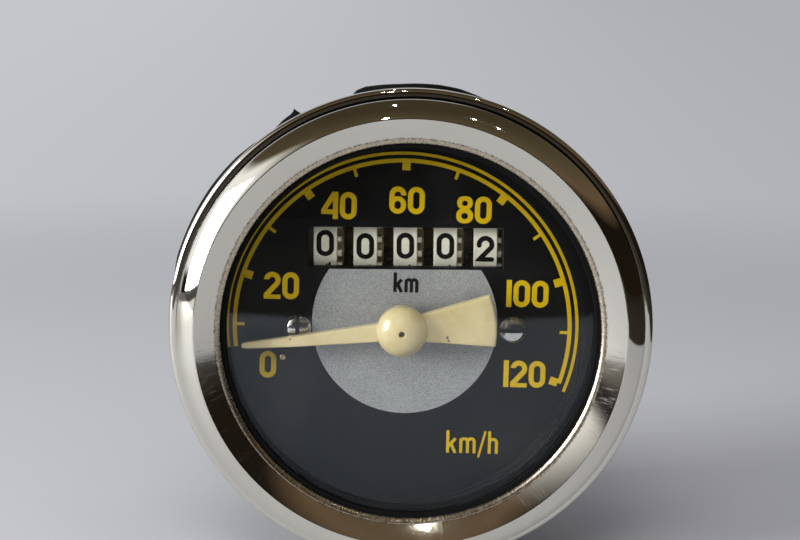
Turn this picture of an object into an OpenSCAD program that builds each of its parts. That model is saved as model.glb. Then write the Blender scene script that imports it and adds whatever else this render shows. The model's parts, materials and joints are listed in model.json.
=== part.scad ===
// Vintage eddy-current speedometer with a five-drum odometer.
// Drawn with x to the right, y up the dial and z towards the reader, then turned so that +Z is up.
// The origin is the centre of the outside of the case's back.

/* [Case] */
// Sheet thickness of the case
case_wall = 0.8; // [0.6:0.1:0.9]
// Gap between the dial's edge and the case at the nearest point
dial_room = 0.25; // [0.2:0.01:1]
// Width of the turned-out flange at the mouth
flange_w = 1.8; // [1.4:0.1:2.6]
// Thickness of the flange
flange_t = 0.8; // [0.6:0.1:1.2]
// Outside radius of the rear corner
case_corner_r = 3; // [1.5:0.5:5]
// Sideways offset of the movement in the case
move_x = -1.47; // [-2:0.01:2]
// Vertical offset of the movement in the case
move_y = -0.64; // [-1:0.01:1]

/* [Mounting] */
// Circle on which the two studs stand
stud_pcd = 42; // [38:1:50]
// Radius of a stud
stud_r = 2.5; // [2:0.5:4]
// Length of a stud behind the case
stud_l = 16; // [8:1:30]
// Radius of the cable thread on the boss
boss_r = 9; // [8:0.5:9.5]
// Length of the cable thread behind the boss nut
boss_free = 12; // [8:1:16]
// Radius of the socket that takes the cable ferrule
ferrule_r = 6; // [5:0.5:7]
// Depth of the ferrule socket
ferrule_l = 6; // [4:0.5:8]
// Step from the cable thread to the thicker neck that takes the nut
neck_step = 1; // [0.6:0.1:1.5]
// Width of the shoulder on the boss
boss_shoulder_w = 2; // [1:0.1:3]
// Thickness of the shoulder on the boss
boss_shoulder_t = 1.2; // [0.8:0.1:2]
// Thickness of the washer behind the case
washer_t = 1; // [0.5:0.1:2]
// Radius of the washer
washer_r = 14; // [12:0.5:16]
// Thickness of the boss nut
nut_t = 4; // [3:0.5:6]
// Width across the flats of the boss nut
nut_af = 27; // [26:1:28]

/* [Bezel and glass] */
// Sheet thickness of the bezel
bezel_t = 0.6; // [0.5:0.1:0.8]
// Gap between the flange and the inside of the bezel
bezel_room = 1.8; // [0.5:0.1:2.5]
// Width of the flat lip round the aperture
lip_w = 1; // [0.6:0.1:1.4]
// Width of the dished cone
cone_w = 3.5; // [2.5:0.1:4.5]
// Rise of the dished cone from lip to crest
cone_rise = 1.8; // [1.2:0.1:2.6]
// Width of the domed ring outside the crest
dome_w = 3.6; // [2.6:0.1:4.4]
// Depth of the groove between ring and bead
groove_d = 0.5; // [0.3:0.05:0.6]
// Radius of the half-round rear bead
bead_r = 1; // [0.8:0.1:1.2]
// Gap between the case and the bezel's rolled rear edge
rolled_room = 0.4; // [0.2:0.1:1]
// Width of glass hidden under the lip
glass_cover = 1.9; // [1.2:0.1:2.4]
// Thickness of the glass
glass_t = 1.8; // [1.4:0.1:2.4]
// Gap between the pointer's hub and the glass
hub_room = 0.6; // [0.4:0.1:1.5]
// Wall of the rubber seal outside the glass
seal_wall = 1.6; // [1.2:0.1:2]
// Thickness of the seal behind the glass
seal_back_t = 0.8; // [0.6:0.1:1.2]
// Thickness of the seal in front of the glass
seal_front_t = 0.5; // [0.4:0.1:0.8]
// Width of seal that shows inside the lip
seal_show = 0.9; // [0.4:0.1:1.4]
// Width of panel gasket that shows outside the bezel's ring
gasket_show = 0.7; // [0.5:0.1:2]
// Thickness of the panel gasket
gasket_t = 2; // [1.5:0.1:3]
// Reach of the moulding flap beyond the gasket
flap_w = 1.1; // [0.5:0.1:2]

/* [Dial] */
// Margin of the dial outside the odometer's frame
dial_margin = 0.68; // [0.5:0.01:2]
// Thickness of the dial
dial_t = 0.8; // [0.6:0.1:1]
// Width of the spacer ring on the dial
spacer_w = 2.3; // [1.5:0.1:3]
// Height of the spacer ring
spacer_h = 5.8; // [5:0.1:6.5]
// Space in the odometer window beside the end drums
window_side = 0.85; // [0.6:0.05:2]
// Height of the odometer window
window_h = 6.9; // [6:0.1:7.2]
// Distance of the window's middle below the drums' axis
window_drop = 0.34; // [0:0.02:0.8]
// Depth of the turned-in rim of the window below the dial's face
rim_depth = 1.7; // [1.2:0.1:1.8]
// Thickness of that rim
rim_t = 0.5; // [0.4:0.1:0.6]
// Half the distance between the dial screws
screw_half = 18.7; // [18.3:0.05:19]
// Sideways offset of the pair of dial screws
screw_off = 0.55; // [0.3:0.05:0.8]
// Distance of the dial screws below the pointer axis
screw_drop = 0.35; // [0:0.05:0.8]
// Radius of a dial screw's domed head
screw_head_r = 2.4; // [2.1:0.1:2.5]
// Height of that head
screw_head_h = 1.5; // [1.2:0.1:1.7]
// Radius of a dial screw's thread
screw_r = 0.9; // [0.7:0.05:1]
// Length of a dial screw's thread
screw_l = 5; // [4:0.5:8]
// Radius of the pillars under the dial
dial_pillar_r = 1.35; // [1.3:0.05:1.5]
// Radius of the zero stop pin
pin_r = 0.5; // [0.4:0.05:0.6]
// Distance of the stop pin from the pointer axis
pin_reach = 21.2; // [19.5:0.1:22]
// Gap between the resting blade and the stop pin
pin_gap = 1.3; // [0.3:0.05:2]

/* [Pointer] */
// Angle at which the pointer rests
pointer_rest = 186.5; // [185.5:0.1:187]
// Gap between the pointer's tip and the spacer ring
tip_gap = 2.9; // [2:0.1:6]
// Width of the blade at the hub
blade_w = 3.5; // [2.8:0.1:3.8]
// Width of the blade at the tip
tip_w = 1; // [0.8:0.1:1.2]
// Thickness of the blade
blade_t = 2; // [1.5:0.1:2]
// Reach of the fan-shaped tail
tail_l = 16.4; // [14:0.1:16.4]
// Width of the tail at the hub
tail_w0 = 4.8; // [4:0.1:5.4]
// Width of the tail at its end
tail_w1 = 9.1; // [7:0.1:9.5]
// Radius of the domed hub
hub_r = 4.4; // [4.1:0.05:4.6]
// Height of the hub's straight side
hub_side = 3.2; // [2:0.1:4]
// Height of the hub's top above the dial
hub_top = 7.6; // [6.6:0.1:8.4]
// Radius of the pointer staff
staff_r = 0.8; // [0.7:0.05:1]
// Radius of the staff's end in the hub
staff_end_r = 0.45; // [0.4:0.05:0.5]

/* [Speed cup] */
// Outer radius of the magnet
magnet_r = 12; // [10:0.1:14]
// Height of the magnet
magnet_h = 6.5; // [5:0.1:8]
// Radius of the hub that carries the magnet
magnet_hub_r = 5; // [4:0.1:6]
// Air gap on each side of the drag cup's wall
air_gap = 0.55; // [0.4:0.05:0.8]
// Sheet thickness of the drag cup
drag_t = 0.5; // [0.4:0.05:0.6]
// Wall of the field cup
field_wall = 1.6; // [1:0.1:2]
// Thickness of the field cup's floor
field_floor = 1; // [0.8:0.1:1.5]
// Turns of the hairspring
spring_turns = 5; // [3:1:6]
// Radius of the hairspring's outer end
spring_r = 7.5; // [6.8:0.1:8]
// Radius of the hairspring's collet
collet_r = 1.6; // [1.3:0.1:2]
// Width of the hairspring's strip
spring_h = 0.8; // [0.5:0.1:1]
// Thickness of the hairspring's strip
spring_t = 0.2; // [0.15:0.01:0.25]

/* [Frame] */
// Gap between the base plate and the case's rear corner
base_room = 0.33; // [0.1:0.01:2]
// Thickness of the base plate
base_t = 3; // [2.6:0.1:4]
// Margin of the base plate outside the bridge plate
bridge_step = 1.5; // [0.5:0.1:2.5]
// Thickness of the bridge plate
bridge_t = 1.5; // [1.2:0.1:2]
// Radius of the pillars between the plates
pillar_r = 2.5; // [2:0.1:2.6]
// Length of the screws in the pillars
pillar_screw_l = 4; // [3:0.5:8]
// Radius of the small screw threads in the frame
frame_screw_r = 1; // [0.8:0.1:1.1]
// Radius of the small screw heads in the frame
frame_head_r = 1.8; // [1.5:0.1:1.9]
// Height of the small screw heads in the frame
frame_head_h = 0.8; // [0.6:0.1:1]
// Height of the cross shaft above the base plate
cross_h = 5; // [4.7:0.1:6]
// Height of the field cup above the cross shaft
cup_h = 5.5; // [5.2:0.1:7]
// Radius of the cross, lay and drum shafts
shaft_r = 1.2; // [1:0.05:1.25]
// Radius of the spindle in its bush
spindle_r = 2.5; // [2.2:0.1:2.8]
// Radius of the spindle bush
bush_r = 3.5; // [3.2:0.1:4]
// Width of the square cable socket
square_w = 2.7; // [2.4:0.1:2.8]
// Depth of the square cable socket
square_l = 9; // [6:0.5:12]
// Radius of the staff's bush in the bridge plate
staff_bush_r = 2; // [1.6:0.1:3]
// Width of a cross shaft bearing
bearing_w = 2.5; // [1.5:0.1:4]
// Half the breadth of a cross shaft bearing
bearing_half = 2.4; // [1.8:0.1:2.8]
// Distance of the near cross shaft bearing from the spindle
bearing_near = 8; // [6:0.5:12]
// Distance of the far cross shaft bearing from its worm
bearing_far = 4.6; // [4.2:0.1:5]
// Sheet thickness of the odometer brackets
bracket_t = 1.2; // [0.8:0.1:1.6]
// Reach of a bracket below the drum shaft
bracket_below = 6.1; // [5:0.1:6.6]
// Reach of a bracket above the pinion shaft
bracket_above = 2.45; // [1.5:0.05:3]
// Reach of a bracket in front of the drum shaft
bracket_front = 7.2; // [6.6:0.1:8]
// Length of a bracket's foot
foot_w = 5; // [4.2:0.1:6]
// Breadth of a bracket's foot
foot_l = 4.2; // [3.8:0.1:5]
// Thickness of a bracket's foot
foot_t = 0.6; // [0.5:0.1:0.8]
// Thickness of the lug over the lay shaft
lug_t = 1.2; // [0.8:0.1:1.6]
// Half the breadth of that lug
lug_half = 1.8; // [1.5:0.1:2.2]

/* [Gear train] */
// Teeth of the gear on the cross shaft
cross_teeth = 15; // [15:1:15]
// Axial pitch of the worm on the spindle
spindle_pitch = 1.6; // [1.5:0.05:1.7]
// Teeth of the gear on the lay shaft
lay_teeth = 25; // [25:1:25]
// Axial pitch of the worm on the cross shaft
cross_pitch = 2.085; // [1.95:0.005:2.1]
// Teeth of the wheel that drives the units drum
drive_teeth = 20; // [20:1:20]
// Axial pitch of the worm on the lay shaft
lay_pitch = 2.325; // [2.3:0.005:2.35]
// Pitch radius of the three worms
worm_r = 2.4; // [2.35:0.05:2.5]
// Length of the three worms
worm_l = 7; // [5:0.5:8]
// Share of a pitch that a worm thread or tooth fills
tooth_share = 0.38; // [0.34:0.01:0.4]
// Height of a tooth above the pitch line, per pitch
tooth_top = 0.25; // [0.2:0.01:0.26]
// Depth of a tooth below the pitch line, per pitch
tooth_root = 0.33; // [0.31:0.01:0.34]
// Face width of the three worm gears
gear_w = 1.8; // [1.5:0.1:2]

/* [Odometer] */
// Radius of a number drum
drum_r = 9.6; // [9.3:0.05:9.8]
// Distance from drum to drum
drum_pitch = 6.95; // [6.8:0.05:7.1]
// Sideways offset of the odometer from the pointer axis
odo_off = 0.45; // [0:0.05:0.8]
// Width of a drum's white band
band_w = 4.1; // [3.8:0.1:4.2]
// Width of a drum's gear ring
ring_w = 1.1; // [0.9:0.1:1.3]
// Teeth of a drum's gear ring
ring_teeth = 20; // [20:1:20]
// Teeth of a carry pinion
carry_teeth = 8; // [8:1:8]
// Step from a drum's band down to the teeth of its gear ring
ring_drop = 1.05; // [0.8:0.05:1.3]
// Angle of the pinion shaft behind the drum shaft
carry_angle = 40; // [36:1:42]
// Radius of the pinion shaft
pinion_shaft_r = 0.9; // [0.7:0.05:1]
// Wall of a drum's band
drum_wall = 1; // [0.8:0.1:1.4]
// Radius of a drum's hub
drum_hub_r = 2.4; // [2:0.1:3]
// Gap between the bridge plate and the drums
drum_under = 1.8; // [1.7:0.1:3]
// Gap between the drums and the dial
drum_over = 0.7; // [0.6:0.1:1.5]

/* [Fits] */
// Radial clearance of a running fit
run_fit = 0.05; // [0.03:0.01:0.08]
// Radial clearance of a fixed fit
fixed_fit = 0.02; // [0.01:0.01:0.03]
// Axial play of a turning piece
end_play = 0.15; // [0.1:0.05:0.2]
// Working gap between pieces that pass each other
pass_gap = 0.5; // [0.4:0.1:0.6]

/* [Hidden] */
$fn = 64;
// Overshoot of a cut past the faces it opens
cut = 1;
drum_count = 5;
pillar_angles = [90, 200, 305];
spring_a = 250;
// Tooth shapes: share of a pitch filled at the root and at the tip, or height per module
worm_root_more = 0.1;
worm_tip_less = 0.12;
ring_shares = [0.6, 0.24];
pinion_shares = [0.62, 0.2];
carry_top_share = 0.8;
carry_root_share = 1.15;

// Heights from the back of the case to the glass
base_z0 = case_wall;
base_z1 = base_z0 + base_t;
cross_z = base_z1 + cross_h;
field_z0 = cross_z + cup_h;
magnet_z0 = field_z0 + field_floor;
magnet_z1 = magnet_z0 + magnet_h;
spindle_z1 = magnet_z1 + pass_gap;
drag_z0 = magnet_z1 + 3 * pass_gap;
bridge_z0 = drag_z0 + drag_t + 3 * pass_gap;
bridge_z1 = bridge_z0 + bridge_t;
drum_z = bridge_z1 + drum_under + drum_r;
dial_z0 = drum_z + drum_r + drum_over;
dial_z1 = dial_z0 + dial_t;
case_z1 = dial_z1 + spacer_h;
glass_z0 = case_z1 + seal_back_t;
glass_z1 = glass_z0 + glass_t;
lip_z0 = glass_z1 + seal_front_t;
lip_z1 = lip_z0 + bezel_t;
crest_z = lip_z1 + cone_rise;
rolled_z1 = case_z1 - flange_t;
bezel_z0 = rolled_z1 - bezel_t;
ring_z = bezel_z0 + 2 * bead_r + groove_d / 2;
neck_z0 = -(washer_t + nut_t);
boss_z0 = neck_z0 - boss_free;
ferrule_z1 = boss_z0 + ferrule_l;
spindle_z0 = ferrule_z1 + end_play;
spindle_step_z = base_z1 + 2 * end_play;

// Gear centres
cross_gear_r = cross_teeth * spindle_pitch / (2 * PI);
lay_gear_r = lay_teeth * cross_pitch / (2 * PI);
drive_gear_r = drive_teeth * lay_pitch / (2 * PI);
cross_y = -(worm_r + cross_gear_r);
lay_y = cross_y + worm_r + lay_gear_r;
drum_y = lay_y + worm_r + drive_gear_r;
carry_module = (drum_r - ring_drop) / (ring_teeth / 2 + carry_top_share);
carry_top = carry_top_share * carry_module;
carry_root = carry_root_share * carry_module;
ring_pitch_r = carry_module * ring_teeth / 2;
carry_pitch_r = carry_module * carry_teeth / 2;
carry_reach = ring_pitch_r + carry_pitch_r;
carry_y = drum_y + carry_reach * cos(carry_angle);
carry_z = drum_z - carry_reach * sin(carry_angle);

// Brackets and bearings
drum_left_x = odo_off - 2 * drum_pitch - band_w / 2;
bracket_left_x = drum_left_x - end_play - bracket_t;
bracket_right_x = drum_left_x + drum_count * drum_pitch;
lay_x = bracket_right_x + bracket_t + end_play + gear_w / 2;
drum_shaft_x1 = lay_x + gear_w / 2 + bracket_t;
bracket_y0 = drum_y - bracket_below;
bracket_y1 = carry_y + bracket_above;
bracket_z1 = drum_z + bracket_front;
pivot_r = 0.75 * shaft_r;
bearing_left_x = -bearing_near;
bearing_right_x = lay_x + bearing_far;

// Radii from the movement out to the gasket
move_off = norm([move_x, move_y]);
dial_r = norm([bracket_right_x + bracket_t, bracket_y1]) + dial_margin;
spacer_in_r = dial_r - spacer_w;
case_r = dial_r + move_off + dial_room + case_wall;
base_r = case_r - case_corner_r - move_off - base_room;
bridge_r = base_r - bridge_step;
pillar_pos = bridge_r - pillar_r;
flange_r = case_r + flange_w;
rolled_r = case_r + rolled_room;
bezel_in_r = flange_r + bezel_room;
groove_r = bezel_in_r + bezel_t;
ring_r = groove_r + groove_d;
crest_r = ring_r - dome_w;
lip_r = crest_r - cone_w - lip_w;
glass_r = lip_r + glass_cover;
seal_in_r = lip_r - seal_show;
glass_foot_r = seal_in_r - lip_w / 5;
gasket_r = ring_r + gasket_show;
flap_r = gasket_r + flap_w;
glass_rise = hub_top + hub_room - spacer_h - seal_back_t;
neck_r = boss_r + neck_step;
boss_shoulder_r = neck_r + boss_shoulder_w;
drag_in_r = magnet_r + air_gap;
drag_out_r = drag_in_r + drag_t;
field_r = drag_out_r + air_gap;

// Window, pointer and stop pin
window_w = (drum_count - 1) * drum_pitch + band_w + 2 * window_side;
window_y = drum_y - window_drop;
pointer_l = spacer_in_r - tip_gap;
blade_gap = screw_head_h + pass_gap;
blade_half = (blade_w + (tip_w - blade_w) * pin_reach / pointer_l) / 2;
pin_angle = pointer_rest + asin((blade_half + pin_r + pin_gap) / pin_reach);
hub_skirt = 0.3 * blade_gap;
hub_z0 = dial_z1 + blade_gap - hub_skirt;

// Pointer staff and hairspring
spring_z = bridge_z1 + pass_gap;
stud_pin_r = collet_r / 2;
pivot_l = magnet_h / 3;
staff_pivot_r = staff_r / 2;

// Stands the gauge up so that its face looks along -Y
module gauge() {
    rotate([90, 0, 0]) children();
}

// The movement and dial sit off the case's centre
module movement() {
    gauge() translate([move_x, move_y, 0]) children();
}

// Lays a piece drawn along z down along x
module along_x(x, y, z) {
    translate([x, y, z]) rotate([0, 90, 0]) children();
}

module tube(r_out, r_in, h) {
    difference() {
        cylinder(r = r_out, h = h);
        translate([0, 0, -cut]) cylinder(r = r_in, h = h + 2 * cut);
    }
}

// Box between two corners
module block(a, b) {
    translate(a) cube(b - a);
}

function polar(r, a) = [r * cos(a), r * sin(a)];

// Points of an elliptic arc
function arc(c, rx, ry, a0, a1, steps) =
    [for (i = [0:steps]) let (a = a0 + (a1 - a0) * i / steps) c + [rx * cos(a), ry * sin(a)]];

// Outline of a gear whose first tooth points along +x
function gear_points(teeth, r_root, r_tip, share_root, share_tip) =
    [for (i = [0:teeth - 1], k = [-1, -0.5, 0.5, 1])
        let (tip = abs(k) < 1, share = tip ? share_tip : share_root)
        polar(tip ? r_tip : r_root, 360 / teeth * (i + sign(k) * share / 2))];

module gear(teeth, r_root, r_tip, share_root, share_tip, bore, width) {
    linear_extrude(width) difference() {
        polygon(gear_points(teeth, r_root, r_tip, share_root, share_tip));
        circle(r = bore);
    }
}

// Gear that runs on a worm, centred on its own width
module worm_gear(teeth, pitch, pitch_r, bore) {
    translate([0, 0, -gear_w / 2])
        gear(teeth, pitch_r - tooth_root * pitch, pitch_r + tooth_top * pitch,
            tooth_share + worm_root_more, tooth_share - worm_tip_less, bore, gear_w);
}

// Right-hand worm along z, with a gap between threads at mesh_angle on its middle plane
module worm(pitch, mesh_angle, length) {
    steps = 16;
    root_r = worm_r - tooth_root * pitch;
    root_half = (tooth_share + worm_root_more) * pitch / 2;
    tip_half = (tooth_share - worm_tip_less) * pitch / 2;
    sunk_r = root_r - 2 * run_fit;
    tip_r = worm_r + tooth_top * pitch;
    turns = floor((length - 2 * root_half) / pitch * steps) / steps;
    rings = turns * steps;
    section = [[sunk_r, -root_half], [tip_r, -tip_half], [tip_r, tip_half], [sunk_r, root_half]];
    points = [for (i = [0:rings], p = section)
        let (turn = i / steps - turns / 2)
        let (a = mesh_angle + 180 + 360 * turn)
        [p[0] * cos(a), p[0] * sin(a), pitch * turn + p[1]]];
    sides = [for (i = [0:rings - 1], k = [0:3])
        let (a = 4 * i + k, b = 4 * i + (k + 1) % 4)
        each [[a, b, a + 4], [b, b + 4, a + 4]]];
    last = 4 * rings;
    ends = [[0, 2, 1], [0, 3, 2], [last, last + 1, last + 2], [last, last + 2, last + 3]];
    translate([0, 0, -length / 2]) tube(root_r, shaft_r + fixed_fit, length);
    polyhedron(points, concat(sides, ends));
}

// Case and mounting

module case_shell() {
    corner = arc([case_r - case_corner_r, case_corner_r], case_corner_r, case_corner_r, -90, 0, 6);
    inside_r = case_corner_r - case_wall;
    inner = arc([case_r - case_corner_r, case_corner_r], inside_r, inside_r, 0, -90, 6);
    profile = concat(
        [[0, 0]], corner,
        [[case_r, case_z1 - flange_t], [flange_r, case_z1 - flange_t], [flange_r, case_z1]],
        [[case_r - case_wall, case_z1]], inner, [[0, case_wall]]);
    color("dimgray") gauge() difference() {
        rotate_extrude() polygon(profile);
        translate([move_x, move_y, -cut]) cylinder(r = neck_r + run_fit, h = case_wall + 2 * cut);
    }
}

module mounting_studs() {
    color("silver") gauge() for (side = [-1, 1])
        translate([side * stud_pcd / 2, 0, -stud_l]) cylinder(r = stud_r, h = stud_l);
}

module panel_gasket() {
    lean = [-0.35, 0.45] * gasket_show;
    flap = concat([polar(flange_r, 92)], [for (a = [79:5:104]) polar(flap_r, a)]);
    spike = [polar(ring_r, 116), polar(flap_r, 118), polar(ring_r, 126)];
    color("#151515") gauge() translate([0, 0, bezel_z0 - gasket_t]) linear_extrude(gasket_t)
        difference() {
            union() {
                translate(lean) circle(r = gasket_r);
                polygon(flap);
                polygon(spike);
            }
            circle(r = case_r + run_fit);
        }
}

// Bezel, glass and seal

module bezel_ring() {
    bead_c = [ring_r + groove_d / 5, bezel_z0 + bead_r];
    lip_rise = bezel_t / 3;
    ring_c = [crest_r, ring_z];
    rise = crest_z - ring_z;
    outside = concat(
        [[rolled_r, bezel_z0]],
        arc(bead_c, bead_r, bead_r, -90, 90, 10),
        [[groove_r, bezel_z0 + 2 * bead_r], [groove_r, ring_z]],
        arc(ring_c, ring_r - crest_r, rise, 0, 90, 12),
        [[lip_r + lip_w, lip_z1 + lip_rise], [lip_r, lip_z1]]);
    inside = concat(
        [[lip_r, lip_z0], [lip_r + lip_w, lip_z0 + lip_rise]],
        arc(ring_c, bezel_in_r - crest_r, rise - bezel_t, 90, 0, 10),
        [[bezel_in_r, rolled_z1], [rolled_r, rolled_z1]]);
    color("gainsboro") gauge() rotate_extrude($fn = 128) polygon(concat(outside, inside));
}

// Height of the dome above the rim at radius r
function dome(r) =
    let (ball_r = (glass_foot_r ^ 2 + glass_rise ^ 2) / (2 * glass_rise))
    sqrt(ball_r * ball_r - r * r) - (ball_r - glass_rise);

module glass_lens() {
    steps = 10;
    radii = [for (i = [0:steps]) glass_foot_r * i / steps];
    back = [for (r = radii) [r, glass_z0 + dome(r)]];
    front = [for (i = [steps:-1:0]) [radii[i], glass_z1 + dome(radii[i])]];
    color("lightcyan", 0.35) gauge() rotate_extrude($fn = 128)
        polygon(concat(back, [[glass_r, glass_z0], [glass_r, glass_z1]], front));
}

module lens_seal() {
    seal_r = glass_r + seal_wall;
    seat_r = glass_r + fixed_fit;
    profile = [
        [seal_in_r, case_z1], [flange_r, case_z1], [flange_r, glass_z0], [seal_r, glass_z0],
        [seal_r, lip_z0], [seal_in_r, lip_z0], [seal_in_r, glass_z1], [seat_r, glass_z1],
        [seat_r, glass_z0], [seal_in_r, glass_z0]];
    color("#121212") gauge() rotate_extrude($fn = 128) polygon(profile);
}

module spacer_ring() {
    step_h = spacer_h / 3;
    step_w = spacer_w / 9;
    profile = concat(
        [[dial_r, dial_z1]],
        [for (k = [0:2], side = [0, 1]) [spacer_in_r + k * step_w, dial_z1 + (k + side) * step_h]],
        [[dial_r, case_z1]]);
    color("#1a1a1a") movement() rotate_extrude($fn = 128) polygon(profile);
}

// Dial

module window_box(grow, z0, z1) {
    half = [window_w / 2 + grow, window_h / 2 + grow];
    block([odo_off - half[0], window_y - half[1], z0], [odo_off + half[0], window_y + half[1], z1]);
}

module dial_plate() {
    rim_z0 = dial_z1 - rim_depth;
    color("#202224") movement() difference() {
        union() {
            translate([0, 0, dial_z0]) cylinder(r = dial_r, h = dial_t);
            window_box(rim_t, rim_z0, dial_z1);
        }
        window_box(0, rim_z0 - cut, dial_z1 + cut);
        translate([0, 0, dial_z0 - cut]) cylinder(r = staff_r + pass_gap, h = dial_t + 2 * cut);
        at_dial_screws() translate([0, 0, dial_z0 - cut])
            cylinder(r = screw_r + run_fit, h = dial_t + 2 * cut);
        at_stop_pin() translate([0, 0, dial_z0 - cut]) cylinder(r = pin_r + fixed_fit, h = dial_t + 2 * cut);
    }
}

module at_dial_screws() {
    for (side = [-1, 1])
        translate([screw_off + side * screw_half, -screw_drop, 0]) rotate([0, 0, side < 0 ? 90 : 0]) children();
}

module at_stop_pin() {
    translate(polar(pin_reach, pin_angle)) children();
}

module dial_screws() {
    slot_w = 0.3 * screw_head_r;
    slot_d = screw_head_h / 2;
    edge_h = screw_head_h / 4;
    head = concat([[0, 0], [screw_head_r, 0]],
        arc([0, edge_h], screw_head_r, screw_head_h - edge_h, 0, 90, 8));
    color("silver") movement() at_dial_screws() difference() {
        union() {
            translate([0, 0, dial_z1]) rotate_extrude() polygon(head);
            translate([0, 0, dial_z1 - screw_l]) cylinder(r = screw_r, h = screw_l);
        }
        block([-screw_head_r - cut, -slot_w / 2, dial_z1 + screw_head_h - slot_d],
            [screw_head_r + cut, slot_w / 2, dial_z1 + screw_head_h + cut]);
    }
}

module zero_stop_pin() {
    pin_h = blade_gap + blade_t * 0.6;
    color("goldenrod") movement() at_stop_pin()
        translate([0, 0, dial_z0]) cylinder(r = pin_r, h = dial_t + pin_h);
}

module dial_pillars() {
    color("darkgoldenrod") movement() at_dial_screws() difference() {
        translate([0, 0, bridge_z1]) cylinder(r = dial_pillar_r, h = dial_z0 - bridge_z1);
        translate([0, 0, dial_z1 - screw_l - cut]) cylinder(r = screw_r + fixed_fit, h = screw_l + 2 * cut);
    }
}

// Frame plates

module at_pillars() {
    for (a = pillar_angles) translate(polar(pillar_pos, a)) children();
}

module at_bracket_screws() {
    for (x = [bracket_left_x - foot_w / 2, bracket_right_x + bracket_t + foot_w / 2])
        translate([x, bracket_y0 + foot_l / 2, 0]) children();
}

module base_plate() {
    color("darkgray") movement() difference() {
        translate([0, 0, base_z0]) cylinder(r = base_r, h = base_t);
        translate([0, 0, base_z0 - cut]) cylinder(r = neck_r + fixed_fit, h = base_t + 2 * cut);
        translate([0, 0, base_z1 - boss_shoulder_t])
            cylinder(r = boss_shoulder_r + fixed_fit, h = boss_shoulder_t + cut);
        translate([lay_x, lay_y, base_z0 - cut]) cylinder(r = pivot_r + run_fit, h = base_t + 2 * cut);
    }
}

module bridge_plate() {
    color("darkgray") movement() difference() {
        translate([0, 0, bridge_z0]) cylinder(r = bridge_r, h = bridge_t);
        translate([0, 0, bridge_z0 - cut]) {
            cylinder(r = staff_bush_r + fixed_fit, h = bridge_t + 2 * cut);
            translate([lay_x, lay_y, 0]) cylinder(r = shaft_r + run_fit, h = bridge_t + 2 * cut);
            at_pillars() cylinder(r = frame_screw_r + run_fit, h = bridge_t + 2 * cut);
            at_bracket_screws() cylinder(r = frame_screw_r + fixed_fit, h = bridge_t + 2 * cut);
        }
    }
}

module bridge_pillars() {
    color("darkgoldenrod") movement() at_pillars() difference() {
        translate([0, 0, base_z1]) cylinder(r = pillar_r, h = bridge_z0 - base_z1);
        translate([0, 0, bridge_z0 - pillar_screw_l - cut])
            cylinder(r = frame_screw_r + fixed_fit, h = pillar_screw_l + 2 * cut);
    }
}

// Cheese-head screw whose head stands on z = 0
module frame_screw(thread_l) {
    slot_half = frame_head_r / 7;
    difference() {
        union() {
            cylinder(r = frame_head_r, h = frame_head_h);
            translate([0, 0, -thread_l]) cylinder(r = frame_screw_r, h = thread_l);
        }
        block([-frame_head_r - cut, -slot_half, frame_head_h / 2],
            [frame_head_r + cut, slot_half, frame_head_h + cut]);
    }
}

module bridge_screws() {
    color("silver") movement() at_pillars() translate([0, 0, bridge_z1])
        frame_screw(bridge_t + pillar_screw_l);
}

module bracket_screws() {
    color("silver") movement() at_bracket_screws()
        translate([0, 0, bridge_z1 + foot_t]) frame_screw(foot_t + bridge_t);
}

// Boss and bearings

module drive_boss() {
    color("darkgray") movement() difference() {
        union() {
            translate([0, 0, boss_z0]) cylinder(r = boss_r, h = boss_free);
            translate([0, 0, neck_z0]) cylinder(r = neck_r, h = base_z1 - neck_z0);
            translate([0, 0, base_z1 - boss_shoulder_t]) cylinder(r = boss_shoulder_r, h = boss_shoulder_t);
        }
        translate([0, 0, boss_z0 - cut]) cylinder(r = ferrule_r, h = ferrule_l + cut);
        translate([0, 0, boss_z0]) cylinder(r = bush_r + fixed_fit, h = base_z1 - boss_z0 + cut);
    }
}

module spindle_bush() {
    color("peru") movement() translate([0, 0, ferrule_z1])
        tube(bush_r, spindle_r + run_fit, base_z1 - ferrule_z1);
}

module boss_washer() {
    color("silver") movement() translate([0, 0, -washer_t])
        tube(washer_r, neck_r + run_fit, washer_t);
}

module boss_nut() {
    color("silver") movement() translate([0, 0, -washer_t - nut_t]) difference() {
        rotate([0, 0, 30]) cylinder(d = nut_af / cos(30), h = nut_t, $fn = 6);
        translate([0, 0, -cut]) cylinder(r = neck_r + fixed_fit, h = nut_t + 2 * cut);
    }
}

module staff_bush() {
    color("peru") movement() translate([0, 0, bridge_z0]) tube(staff_bush_r, staff_r + run_fit, bridge_t);
}

module cross_bearings() {
    color("darkgoldenrod") movement() for (x = [bearing_left_x - bearing_w, bearing_right_x])
        difference() {
            block([x, cross_y - bearing_half, base_z1],
                [x + bearing_w, cross_y + bearing_half, cross_z + bearing_half]);
            along_x(x - cut, cross_y, cross_z) cylinder(r = shaft_r + run_fit, h = bearing_w + 2 * cut);
        }
}

// Odometer brackets

module bracket_wall(x) {
    block([x, bracket_y0, bridge_z1], [x + bracket_t, bracket_y1, bracket_z1]);
}

module bracket_foot(x) {
    block([x, bracket_y0, bridge_z1], [x + foot_w, bracket_y0 + foot_l, bridge_z1 + foot_t]);
}

module bracket_holes(x) {
    along_x(x - cut, drum_y, drum_z) cylinder(r = shaft_r + run_fit, h = bracket_t + 2 * cut);
    along_x(x - cut, carry_y, carry_z) cylinder(r = pinion_shaft_r + fixed_fit, h = bracket_t + 2 * cut);
    at_bracket_screws() translate([0, 0, bridge_z1 - cut])
        cylinder(r = frame_screw_r + run_fit, h = foot_t + 2 * cut);
}

module left_bracket() {
    color("lightsteelblue") movement() difference() {
        union() {
            bracket_wall(bracket_left_x);
            bracket_foot(bracket_left_x - foot_w);
        }
        bracket_holes(bracket_left_x);
    }
}

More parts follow.
